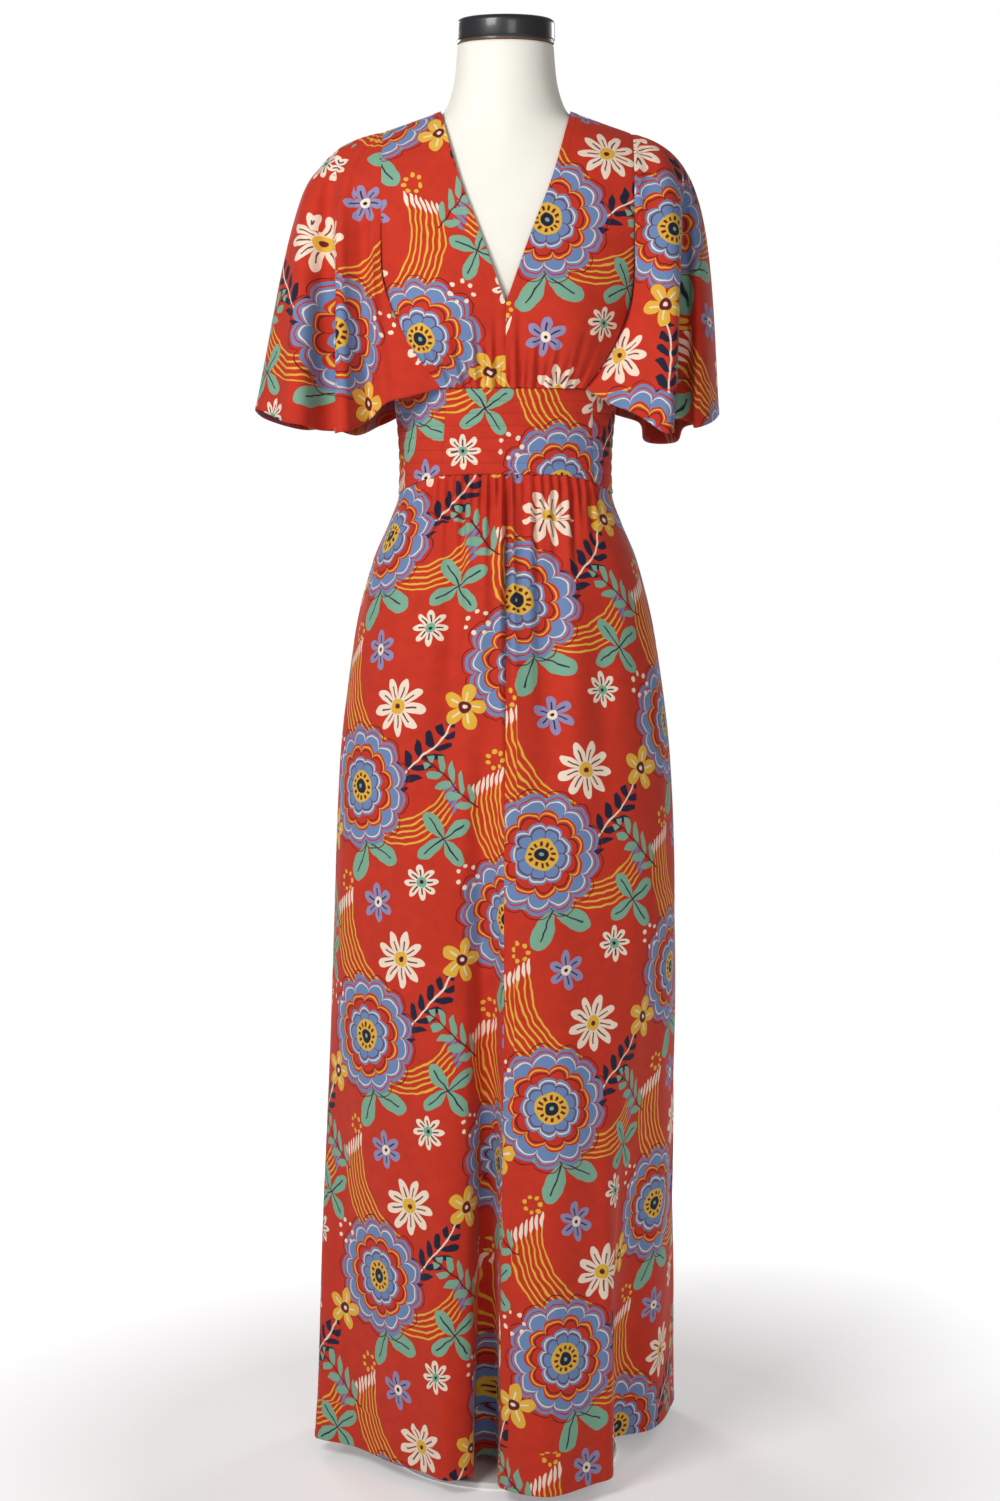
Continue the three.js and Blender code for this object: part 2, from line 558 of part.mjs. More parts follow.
// One level section of the folded skirt as a ring of crests and troughs.
function skirtRing(share) {
  return SKIRT_FOLDS.map((fold) => {
    const angle = radians(fold.angle);
    const z = mix(HEM_HEIGHT, bandFoot(angle) - BAND.skirtGap, share);
    const smooth = (height) => {
      const read = (column) => reading(SKIRT, column, height);
      return onSection(read("half"), read("front"), read("back"), SKIRT_POWER, angle);
    };
    const [here, hem] = [smooth(z), smooth(HEM_HEIGHT)];
    const grown = Math.max((fold.rise - z) / (fold.rise - HEM_HEIGHT), 0) ** FOLD_START;
    return point(here.x + (fold.x - hem.x) * grown, here.y + (fold.y - hem.y) * grown, z);
  });
}

// The angle that the cloth at a place round the skirt comes from.
function foldAngle(p) {
  const row = Math.floor(p);
  const n = SKIRT_FOLDS.length;
  const angle = (i) => SKIRT_FOLDS[((i % n) + n) % n].angle + 360 * Math.floor(i / n);
  return radians(mix(angle(row), angle(row + 1), p - row));
}

function skirtPanel(name, from, to) {
  const rings = new Map(SKIRT_STEPS.map((share) => [share, skirtRing(share)]));
  const columns = steps((to - from) * FOLD_STEPS).map((t) => mix(from + SEAM_SHARE, to - SEAM_SHARE, t));
  const at = (p, share) => {
    const row = Math.floor(p);
    const here = through(rings.get(share), row, p - row);
    here.z = mix(HEM_HEIGHT, bandFoot(foldAngle(p)) - BAND.skirtGap, share);
    return here;
  };
  return wall(name, columns, SKIRT_STEPS, at, CLOTH, point(0, 0, CORE.skirt), PRINT, SKIRT_REACH);
}

// ---------------------------------------------------------------- the form and its stand
function torso() {
  const heights = FORM.flatMap((row, i) => {
    const next = FORM[i + 1];
    return next && next.z - row.z > LONGEST_STEP ? [row.z, (row.z + next.z) / 2] : [row.z];
  });
  const around = steps(ROUND_STEPS).slice(0, -1);
  const ring = (z) => around.map((t) => formPoint(z, t * 2 * Math.PI));
  return loft("form_torso", heights.map(ring), JERSEY);
}

function neckCap() {
  const { radius, foot, height, rounding, chamfer } = CAP;
  const rim = [0, 0.33, 0.67, 1].map((t) => {
    const a = (t * Math.PI) / 2;
    return [radius - rounding + rounding * Math.cos(a), foot + height - rounding + rounding * Math.sin(a)];
  });
  return turned(
    "neck_cap",
    [[0, foot], [radius - chamfer, foot], [radius, foot + chamfer], ...rim, [0, foot + height]],
    BLACK_WOOD,
    40,
  );
}

function stand() {
  const { radius, rim, bevelIn, bevelUp, coneFoot, coneRise, height, hub } = BASE;
  const base = turned(
    "base",
    [
      [0, 0],
      [radius, 0],
      [radius, rim],
      [radius - bevelIn, rim + bevelUp],
      [coneFoot, rim + coneRise],
      [hub, height],
      [0, height],
    ],
    WHITE_STEEL,
  );
  const pole = turned(
    "pole",
    [
      [0, height + SEAM],
      [POLE_RADIUS, height + SEAM],
      [POLE_RADIUS, TORSO_FOOT - SEAM],
      [0, TORSO_FOOT - SEAM],
    ],
    WHITE_STEEL,
    24,
  );
  return [base, pole];
}

// ---------------------------------------------------------------- assembly
const dress = new THREE.Group();
const [leftSeam, rightSeam] = [bandAngle(BAND_SEAMS.left), bandAngle(BAND_SEAMS.right)];
const quarter = Math.PI / 2;
dress.add(
  bodiceFront("bodice_front_left", ARMHOLE.left),
  bodiceFront("bodice_front_right", ARMHOLE.right),
  bodiceBack("bodice_back"),
  bodiceSide("bodice_side_left", ARMHOLE.left),
  bodiceSide("bodice_side_right", ARMHOLE.right),
  sleeve("sleeve_left", ARMHOLE.left, SLEEVES.left),
  sleeve("sleeve_right", ARMHOLE.right, SLEEVES.right),
  bandPanel("band_front", leftSeam, rightSeam, 10),
  bandPanel("band_side_left", -quarter, leftSeam, 5),
  bandPanel("band_side_right", rightSeam, quarter, 5),
  bandPanel("band_back", quarter, 3 * quarter, 14),
  skirtPanel("skirt_front_left", SKIRT_SEAMS.left, SKIRT_SEAMS.centre),
  skirtPanel("skirt_front_right", SKIRT_SEAMS.centre, SKIRT_SEAMS.right),
  skirtPanel("skirt_back", SKIRT_SEAMS.right, SKIRT_FOLDS.length + SKIRT_SEAMS.left),
);

const part = new THREE.Group();
part.add(dress, torso(), neckCap(), ...stand());
export default part;
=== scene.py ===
"""A V-neck maxi dress with flutter sleeves, worn by a plain limbless dress form.

Each cut piece of the dress is a thin shell that lies on its solid's form, with its gathers, soft creases,
hems and seams. Tables and sizes are in millimetres; meshes, cut sizes and lights are in metres. Left and
right are as seen from the front, which faces -Y.
"""

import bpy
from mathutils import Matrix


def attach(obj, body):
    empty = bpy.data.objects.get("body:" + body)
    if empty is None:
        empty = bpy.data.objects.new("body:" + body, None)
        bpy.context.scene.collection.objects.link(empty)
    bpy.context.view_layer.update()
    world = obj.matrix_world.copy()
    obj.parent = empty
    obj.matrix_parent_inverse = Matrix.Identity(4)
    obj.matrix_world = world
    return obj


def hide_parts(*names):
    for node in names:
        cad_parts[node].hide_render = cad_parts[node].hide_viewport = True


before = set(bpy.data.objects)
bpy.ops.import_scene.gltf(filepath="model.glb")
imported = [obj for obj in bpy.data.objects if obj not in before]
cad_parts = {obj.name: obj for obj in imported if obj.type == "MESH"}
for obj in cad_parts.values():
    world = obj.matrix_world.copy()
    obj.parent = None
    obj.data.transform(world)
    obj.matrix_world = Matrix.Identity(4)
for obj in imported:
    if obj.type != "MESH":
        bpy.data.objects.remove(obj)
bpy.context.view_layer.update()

import logging
import math
from collections.abc import Callable, Sequence
from dataclasses import dataclass
from enum import Enum

import bmesh
import bpy
import numpy as np
from mathutils import Vector

LOG = logging.getLogger("dress")
MM = 0.001
ROOT = "root"

# ------------------------------------------------------------------ sizes of the dress and the form
CLOTH = 1.0
BAND_CLOTH = 1.6
CLOTH_LIFT = 5.0
LIFT_FROM = 1340.0
LIFT_OVER = 50.0
UNDER_LAP = 2.2
HEM_HEIGHT = 18.0
BAND_TOP = 1182.0
BAND_FRONT_FOOT = 1092.0
BAND_SIDE_FOOT = 1070.0
BAND_BACK_FOOT = 1080.0
BAND_HALF = 118.0
NECK_POINT = 69.0
BACK_NECK_DROP = 20.0
UNDERARM = 1332.0
UNDERARM_DIP = 12.0
SHOULDER_RUN = 16.0
SKIRT_POWER = 2.3
FOLD_START = 1.3

Surface = Callable[[np.ndarray, np.ndarray], np.ndarray]
Spot = tuple[float, float]
Colour = tuple[float, float, float]


def mix(a: float | np.ndarray, b: float | np.ndarray, t: float | np.ndarray) -> np.ndarray:
    """The value a share t of the way from a to b."""
    return a + (b - a) * t


def smooth(t: np.ndarray) -> np.ndarray:
    """An even rise from 0 to 1 that starts and ends flat."""
    held = np.clip(t, 0.0, 1.0)
    return held * held * (3.0 - 2.0 * held)


def cubic(a: np.ndarray, b: np.ndarray, c: np.ndarray, d: np.ndarray, t: np.ndarray) -> np.ndarray:
    """A Bezier curve from a to d with the control values b and c."""
    return a * (1 - t) ** 3 + 3 * b * t * (1 - t) ** 2 + 3 * c * t * t * (1 - t) + d * t**3


class Profile:
    """Columns of sizes against height, read smoothly between their rows without overshoot."""

    def __init__(self, names: str, rows: Sequence[tuple[float, ...]]) -> None:
        """Reads the table.

        Args:
            names: the columns' names after the height, separated by spaces.
            rows: a height and its sizes, from the lowest height up.
        """
        table = np.array(rows, dtype=float)
        self.names = names.split()
        self.heights = table[:, 0]
        self.columns = table[:, 1:]
        rate = np.diff(self.columns, axis=0) / np.diff(self.heights)[:, None]
        below, above = rate[:-1], rate[1:]
        turning = below * above <= 0
        harmonic = 2 * below * above / np.where(turning, 1.0, below + above)
        self.slopes = np.vstack([rate[:1], np.where(turning, 0.0, harmonic), rate[-1:]])

    def read(self, name: str, height: np.ndarray) -> np.ndarray:
        """Reads a column.

        Args:
            name: the column's name.
            height: the heights to read it at.

        Returns:
            The column's value at each height.
        """
        k = self.names.index(name)
        z = np.clip(height, self.heights[0], self.heights[-1])
        row = np.clip(np.searchsorted(self.heights, z) - 1, 0, len(self.heights) - 2)
        span = self.heights[row + 1] - self.heights[row]
        t = (z - self.heights[row]) / span
        t2, t3 = t * t, t**3
        return (
            (2 * t3 - 3 * t2 + 1) * self.columns[row, k]
            + (t3 - 2 * t2 + t) * span * self.slopes[row, k]
            + (3 * t2 - 2 * t3) * self.columns[row + 1, k]
            + (t3 - t2) * span * self.slopes[row + 1, k]
        )


def on_section(
    half: np.ndarray, front: np.ndarray, back: np.ndarray, power: np.ndarray, angle: np.ndarray
) -> tuple[np.ndarray, np.ndarray]:
    """A point of a rounded section.

    Args:
        half: half its width.
        front: its depth in front of the middle.
        back: its depth behind the middle.
        power: 2 for an ellipse, more for a squarer section.
        angle: from the front, towards the right, in radians.

    Returns:
        The point's x and y.
    """
    s, c = np.sin(angle), np.cos(angle)
    depth = np.where(c > 0, front, back)
    x = half * np.sign(s) * np.abs(s) ** (2 / power)
    return x, -depth * np.sign(c) * np.abs(c) ** (2 / power)


def between(a: np.ndarray, b: np.ndarray, c: np.ndarray, d: np.ndarray, t: np.ndarray) -> np.ndarray:
    """Points on a smooth curve from b to c, with a before it and d after it.

    Args:
        a: points before the stretch.
        b: where the stretch starts.
        c: where it ends.
        d: points after the stretch.
        t: shares of the way along it.

    Returns:
        The points, in arrays of the same shape.
    """

    def gap(p: np.ndarray, q: np.ndarray) -> np.ndarray:
        """The root of the distance from p to q, which keeps uneven spacing from looping."""
        return np.maximum(np.sqrt(np.linalg.norm(q - p, axis=-1, keepdims=True)), 1e-3)

    ab, bc, cd = gap(a, b), gap(b, c), gap(c, d)
    leave = ((b - a) / ab - (c - a) / (ab + bc) + (c - b) / bc) * bc
    arrive = ((c - b) / bc - (d - b) / (bc + cd) + (d - c) / cd) * bc
    t = t[..., None]
    t2, t3 = t * t, t**3
    ends = (2 * t3 - 3 * t2 + 1) * b + (3 * t2 - 2 * t3) * c
    return ends + (t3 - 2 * t2 + t) * leave + (t3 - t2) * arrive


# ------------------------------------------------------------------ the figure
class Figure:
    """The limbless form's sections, and the bodice's, which are let out from them."""

    sections = Profile(
        "half front back power ease",
        [
            (792, 140, 92, 108, 2.3, 0),
            (860, 154, 102, 122, 2.3, 0),
            (920, 150, 100, 118, 2.3, 0),
            (980, 134, 91, 104, 2.3, 0),
            (1040, 114, 81, 86, 2.3, 0),
            (1090, 110, 81, 81, 2.3, 1),
            (1150, 114, 86, 84, 2.3, 2),
            (1182, 116, 88, 86, 2.3, 4),
            (1215, 130, 95, 92, 2.3, 7),
            (1240, 140, 99, 96, 2.35, 7),
            (1272, 149, 101, 99, 2.35, 5),
            (1310, 157, 98, 100, 2.3, 3),
            (1346, 175, 91, 96, 2.2, 1),
            (1381, 189, 83, 89, 2.1, 0),
            (1400, 191, 78, 83, 2.0, 0),
            (1416, 183, 73, 77, 1.8, 0),
            (1432, 163, 68, 72, 1.6, 0),
            (1447, 132, 65, 68, 1.5, 0),
            (1459, 98, 62, 65, 1.6, 0),
            (1470, 70, 60, 63, 1.9, 0),
            (1490, 59, 56, 58, 2.0, 0),
            (1512, 54, 53, 54, 2.0, 0),
            (1546, 51, 51, 51, 2.0, 0),
        ],
    )
    neckline = Profile("half", [(1270, 0.2), (1345, 27), (1403, 49), (1474, NECK_POINT)])
    bust_apart, bust_height = 76.0, 1238.0
    bust_spread_x, bust_spread_z = 44.0, 50.0
    bust_proud = 15.0
    ridge_low, ridge_high = 1404.0, 1478.0
    halvings = 40
    neck_base = 80.0
    shoulder_slope = 0.345
    turn_from, turn_over = 1440.0, 24.0

    def bust(self, x: np.ndarray, z: np.ndarray) -> np.ndarray:
        """How far the bust stands forward at a place."""
        across = (np.abs(x) - self.bust_apart) / self.bust_spread_x
        up = (z - self.bust_height) / self.bust_spread_z
        return self.bust_proud * np.exp(-(across**2) - up**2)

    def skin(self, angle: np.ndarray, z: np.ndarray) -> np.ndarray:
        """Points of the form's face at angles from the front and heights."""
        half, front, back, power = (self.sections.read(n, z) for n in ("half", "front", "back", "power"))
        x, y = on_section(half, front, back, power, angle)
        chest = np.maximum(np.cos(angle), 0) * self.bust(x, z)
        return np.stack([x, y - chest, z], axis=-1)

    def bodice(self, z: np.ndarray, inset: float = 0.0) -> tuple[np.ndarray, ...]:
        """The bodice's section at a height.

        Args:
            z: the heights.
            inset: how far inside the bodice's own face it lies.

        Returns:
            Half width, front depth, back depth and power.
        """
        height = z - CLOTH_LIFT * np.clip((z - LIFT_FROM) / LIFT_OVER, 0, 1)
        half, front, back, power, ease = (self.sections.read(n, height) for n in self.sections.names)
        lift = CLOTH_LIFT - inset
        return half + lift, front + lift + ease, back + lift, power

    def beside_neck(self, x: np.ndarray, z: np.ndarray) -> tuple[np.ndarray, np.ndarray]:
        """Where to read the bodice at a place, so that beside the neck it closes over the shoulder."""
        out = np.minimum(np.abs(x), self.neck_base)
        turning = smooth((z - self.turn_from) / self.turn_over)
        turning = turning * smooth((out - 45) / (NECK_POINT - 45)) * (np.abs(x) < self.neck_base)
        rise = self.shoulder_slope * (self.neck_base - out)
        return mix(np.abs(x), self.neck_base, turning), z - rise * turning

    def front_y(self, x: np.ndarray, z: np.ndarray) -> np.ndarray:
        """The bodice's front at a place."""
        x, z = self.beside_neck(x, z)
        half, front, _, power = self.bodice(z)
        share = np.minimum(np.abs(x) / half, 1)
        flat = front * (1 - share**power) ** (1 / power)
        return -flat - self.bust(x, z) * np.sqrt(np.minimum(flat / front, 1))

    def back_y(self, x: np.ndarray, z: np.ndarray) -> np.ndarray:
        """The bodice's back at a place."""
        x, z = self.beside_neck(x, z)
        half, _, back, power = self.bodice(z)
        share = np.minimum(np.abs(x) / half, 1)
        return back * (1 - share**power) ** (1 / power)

    def ridge(self, x: np.ndarray) -> np.ndarray:
        """Height of the shoulder's ridge at distances from the middle, found by halving."""
        out = np.abs(np.asarray(x, dtype=float))
        reach = np.maximum(out, self.neck_base)
        low = np.full_like(reach, self.ridge_low)
        high = np.full_like(reach, self.ridge_high)
        for _ in range(self.halvings):
            middle = (low + high) / 2
            wide = self.bodice(middle)[0] > reach
            low, high = np.where(wide, middle, low), np.where(wide, high, middle)
        return low + self.shoulder_slope * (reach - out)


FIGURE = Figure()


@dataclass(frozen=True)
class Armhole:
    """The seam that the sleeve is set into: straight down from the shoulder, then in to the band."""

    side: int
    edge: float
    foot: float
    back_foot: float
    turn: float
    bend: float

    def x(self, z: np.ndarray, foot: float) -> np.ndarray:
        """The seam's distance from the middle at a height, ending at foot on the band."""
        t = np.clip((self.turn - z) / (self.turn - BAND_TOP), 0, 1)
        return self.edge - (self.edge - foot) * t**self.bend

    def height(self, v: np.ndarray, belly: float = 1300.0) -> np.ndarray:
        """Height on the seam, from 0 at the shoulder to 1 at the band."""
        top = FIGURE.ridge(np.array(self.edge))
        return cubic(top, top - SHOULDER_RUN, belly, BAND_TOP, v)

    def climb(self, v: np.ndarray) -> np.ndarray:
        """Share of the way from the band up to the shoulder at each step down the seam."""
        top, foot = self.height(np.array(0.0)), self.height(np.array(1.0))
        return (self.height(v) - foot) / (top - foot)


LEFT = Armhole(-1, 131.0, 68.0, 76.0, 1320.0, 1.9)
RIGHT = Armhole(1, 135.5, 84.0, 80.0, 1310.0, 2.1)


# ------------------------------------------------------------------ creases and gathers
@dataclass(frozen=True)
class Crease:
    """A soft ridge down the cloth, or a trough if its rise is below 0, strongest near its root.

    root and tip are x and height, width is its half width at each, and start is its share at the root,
    where a seam may hold it flat.
    """

    root: Spot
    tip: Spot
    width: Spot
    rise: float
    start: float = 0.45
    swell: float = 0.1
    behind: bool = False

    def lift(self, points: np.ndarray) -> np.ndarray:
        """How far the crease lifts the cloth at each point."""
        x, y, z = points[..., 0], points[..., 1], points[..., 2]
        t = (z - self.root[1]) / (self.tip[1] - self.root[1])
        held = np.clip(t, 0, 1)
        offset = (x - mix(self.root[0], self.tip[0], held)) / mix(self.width[0], self.width[1], held)
        fade = mix(self.start, 1.0, smooth(held / self.swell)) * (1 - smooth(held))
        facing = (y > 0) if self.behind else (y <= 0)
        return self.rise * fade * np.exp(-(offset**2)) * facing


def gathers(
    seed: int, span: Spot, count: int, root: float, reach: Spot, rise: Spot, behind: bool
) -> tuple[Crease, ...]:
    """Uneven gathers along a seam, drawn with a fixed seed.

    Args:
        seed: what the draw starts from.
        span: where the first and the last one stand.
        count: how many there are.
        root: the seam's height.
        reach: the shortest and the longest, below 0 where they run down.
        rise: the lowest and the highest.
        behind: whether they are on the back.

    Returns:
        The gathers.
    """
    draw = np.random.default_rng(seed)
    made = []
    for k in range(count):
        x = mix(span[0], span[1], (k + draw.uniform(0.2, 0.8)) / count)
        length = mix(reach[0], reach[1], draw.uniform() ** 2)
        width = draw.uniform(2.4, 4.4)
        tip = (x * draw.uniform(1.02, 1.12), root + length)
        size = mix(rise[0], rise[1], draw.uniform())
        made.append(Crease((x, root), tip, (width, width * draw.uniform(1.6, 2.6)), size, behind=behind))
    return tuple(made)


# ------------------------------------------------------------------ laying a panel flat
def lay_flat(points: np.ndarray, guess: np.ndarray, rounds: int = 500) -> np.ndarray:
    """Lays a grid of cloth flat, keeping the lengths of its threads and diagonals as near as it can.

    Args:
        points: the cloth's points on the body, columns by rows by 3.
        guess: a first flat place for each, columns by rows by 2.
        rounds: how often every length is corrected.

    Returns:
        The flat places.
    """
    flat = guess.copy()
    pairs = []
    for dx, dy in ((1, 0), (0, 1), (1, 1), (1, -1)):
        near = (slice(0, points.shape[0] - dx), slice(max(0, -dy), points.shape[1] - max(0, dy)))
        far = (slice(dx, points.shape[0]), slice(max(0, dy), points.shape[1] + min(0, dy)))
        pairs.append((near, far, np.linalg.norm(points[far] - points[near], axis=-1)))
    for _ in range(rounds):
        move = np.zeros_like(flat)
        share = np.zeros(flat.shape[:2])
        for near, far, length in pairs:
            reach = flat[far] - flat[near]
            now = np.maximum(np.linalg.norm(reach, axis=-1), 1e-6)
            pull = reach * (0.5 * (now - length) / now)[..., None]
            move[near] += pull
            move[far] -= pull
            share[near] += 1
            share[far] += 1
        flat += 1.6 * move / share[..., None]
    return flat


def row_guess(points: np.ndarray) -> np.ndarray:
    """A first flat place for a panel that hangs straight: lengths along its rows and its middle column."""
    middle = points.shape[0] // 2
    steps = np.linalg.norm(np.diff(points, axis=0), axis=-1)
    across = np.vstack([np.zeros((1, points.shape[1])), np.cumsum(steps, axis=0)])
    across -= across[middle]
    fall = np.linalg.norm(np.diff(points[middle], axis=0), axis=-1)
    down = np.concatenate([[0.0], np.cumsum(fall)])
    rising = np.sign(points[middle, -1, 2] - points[middle, 0, 2])
    return np.stack([across, np.broadcast_to(rising * down, across.shape)], axis=-1)


def fan_guess(points: np.ndarray) -> np.ndarray:
    """A first flat place for a sleeve that falls in a fan from the shoulder's point."""
    fall = np.linalg.norm(np.diff(points, axis=1), axis=-1)
    reach = np.hstack([np.zeros((points.shape[0], 1)), np.cumsum(fall, axis=1)])
    hem = np.linalg.norm(np.diff(points[:, -1], axis=0), axis=-1)
    turn = np.concatenate([[0.0], np.cumsum(hem / ((reach[1:, -1] + reach[:-1, -1]) / 2))])
    turn -= turn[-1] / 2
    return np.stack([reach * np.sin(turn)[:, None], -reach * np.cos(turn)[:, None]], axis=-1)


def spread(coarse: np.ndarray, columns: np.ndarray, rows: np.ndarray, across: int, along: int) -> np.ndarray:
    """Fills a fine grid between the places of a coarse one.

    Args:
        coarse: values at the coarse columns and rows.
        columns: the fine columns that the coarse ones are.
        rows: the fine rows that the coarse ones are.
        across: the number of fine columns.
        along: the number of fine rows.

    Returns:
        The values on the fine grid.
    """
    every_row = np.arange(along)
    every_column = np.arange(across)
    filled = np.empty((len(columns), along, coarse.shape[-1]))
    for i in range(len(columns)):
        for k in range(coarse.shape[-1]):
            filled[i, :, k] = np.interp(every_row, rows, coarse[i, :, k])
    full = np.empty((across, along, coarse.shape[-1]))
    for j in range(along):
        for k in range(coarse.shape[-1]):
            full[:, j, k] = np.interp(every_column, columns, filled[:, j, k])
    return full


def even_steps(count: int, close: float, ends: tuple[bool, bool] = (True, True)) -> np.ndarray:
    """Shares from 0 to 1 that are closer together near the ends.

    Args:
        count: how many steps there are.
        close: the share of the way that a close-set end takes with an eighth of the steps.
        ends: whether the start and the end are close set.

    Returns:
        The shares.
    """
    t = np.linspace(0, 1, count + 1)
    marks, places = [0.0], [0.0]
    if ends[0]:
        marks.append(0.125)
        places.append(close)
    if ends[1]:
        marks.append(0.875)
        places.append(1 - close)
    return np.interp(t, [*marks, 1.0], [*places, 1.0])


# ------------------------------------------------------------------ a cut panel of cloth
class Guess(Enum):
    """How a panel is first laid flat."""

    ROWS = "rows"
    FAN = "fan"


@dataclass
class Panel:
    """A cut piece of cloth, laid on a surface and given its wall."""

    node: str
    surface: Surface
    columns: np.ndarray
    rows: np.ndarray
    core: Vector
    cut: Spot
    cut_area: float
    held: str
    rests_on: tuple[str, ...]
    creases: tuple[Crease, ...] = ()
    relief: Callable[[np.ndarray, np.ndarray, np.ndarray], np.ndarray] | None = None
    thickness: float = CLOTH
    room: Callable[[np.ndarray], np.ndarray] | None = None
    guess: Guess = Guess.ROWS
    print_from: Spot = (0.0, 0.0)
    print_turn: float = 0.0
    flat_steps: int = 36

    def points(self) -> tuple[np.ndarray, np.ndarray]:
        """The panel's points.

        Returns:
            The smooth surface and the finished one, columns by rows by 3, in millimetres.
        """
        u, v = np.meshgrid(self.columns, self.rows, indexing="ij")
        smooth_face = self.surface(u, v)
        across = np.gradient(smooth_face, axis=0)
        along = np.gradient(smooth_face, axis=1)
        normal = np.cross(across, along)
        normal /= np.maximum(np.linalg.norm(normal, axis=-1, keepdims=True), 1e-9)
        i, j = len(self.columns) // 2, len(self.rows) // 2
        if np.dot(normal[i, j], smooth_face[i, j] - np.array(self.core)) < 0:
            normal = -normal
        lift = sum((c.lift(smooth_face) for c in self.creases), np.zeros(u.shape))
        if self.room:
            room = self.room(smooth_face)
            lift = np.where(lift < 0, room * (np.exp(np.minimum(lift, 0) / room) - 1), lift)
        if self.relief:
            lift = lift + self.relief(u, v, smooth_face)
        return smooth_face, smooth_face + normal * lift[..., None]

    def laid_flat(self, points: np.ndarray) -> np.ndarray:
        """The flat place of every point of the panel, in millimetres."""
        i = np.unique(np.linspace(0, len(self.columns) - 1, self.flat_steps).round().astype(int))
        j = np.unique(np.linspace(0, len(self.rows) - 1, self.flat_steps).round().astype(int))
        coarse = points[np.ix_(i, j)]
        first = fan_guess(coarse) if self.guess is Guess.FAN else row_guess(coarse)
        flat = spread(lay_flat(coarse, first), i, j, len(self.columns), len(self.rows))
        size = flat.reshape(-1, 2).max(0) - flat.reshape(-1, 2).min(0)
        d1, d2 = flat[1:, 1:] - flat[:-1, :-1], flat[1:, :-1] - flat[:-1, 1:]
        area = np.abs(d1[..., 0] * d2[..., 1] - d1[..., 1] * d2[..., 0]).sum() / 2
        LOG.info("%s lies flat in %.0f x %.0f mm, %.4f m2", self.node, *size, area * MM * MM)
        return flat

    def build(self, finish: bpy.types.Material, inside: bpy.types.Material) -> bpy.types.Object:
        """Makes the panel's object.

        Args:
            finish: the cloth's right side.
            inside: its wrong side.

        Returns:
            The finished object, with its wall, cut map and place on the body.
        """
        smooth_face, points = self.points()
        flat = self.laid_flat(smooth_face) * MM
        turn = math.radians(self.print_turn)
        turned = flat @ np.array([[math.cos(turn), math.sin(turn)], [-math.sin(turn), math.cos(turn)]])
        turned += np.array(self.print_from)
        across, along = len(self.columns) - 1, len(self.rows) - 1
        mesh = bpy.data.meshes.new(self.node)
        shape = bmesh.new()
        bmesh.ops.create_grid(shape, x_segments=across, y_segments=along, size=0.5)
        cut_map = shape.loops.layers.uv.new("cut")
        place = {v: (round((v.co.x + 0.5) * across), round((v.co.y + 0.5) * along)) for v in shape.verts}
        for face in shape.faces:
            for loop in face.loops:
                loop[cut_map].uv = turned[place[loop.vert]]
        for vert, spot in place.items():
            vert.co = Vector(points[spot]) * MM
        shape.normal_update()
        shape.faces.ensure_lookup_table()
        middle = shape.faces[len(shape.faces) // 2]
        if middle.normal.dot(middle.calc_center_median() - self.core * MM) < 0:
            bmesh.ops.reverse_faces(shape, faces=shape.faces)
        for face in shape.faces:
            face.smooth = True
        shape.to_mesh(mesh)
        shape.free()
        mesh.materials.append(finish)
        mesh.materials.append(inside)
        piece = bpy.data.objects.new(f"{self.node}_cloth", mesh)
        bpy.context.scene.collection.objects.link(piece)
        wall = piece.modifiers.new("wall", "SOLIDIFY")
        wall.thickness = self.thickness * MM
        wall.offset = -1.0
        wall.use_even_offset = False
        wall.thickness_clamp = 1.0
        wall.material_offset = 1
        wall.material_offset_rim = 0
        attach(piece, ROOT)
        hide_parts(self.node)
        LOG.info("%s has %d faces", piece.name, len(mesh.polygons))
        return piece


# ------------------------------------------------------------------ the dress's sub-assemblies
SEAM_WIDTH = 2.2
SEAM_DIP = 0.7
HEM_DEPTH = 8.0
HEM_LIFT = 0.35


def seam_dip(distance: np.ndarray) -> np.ndarray:
    """How far the cloth dips at a distance from a seam."""
    return -SEAM_DIP * np.exp(-((distance / SEAM_WIDTH) ** 2))


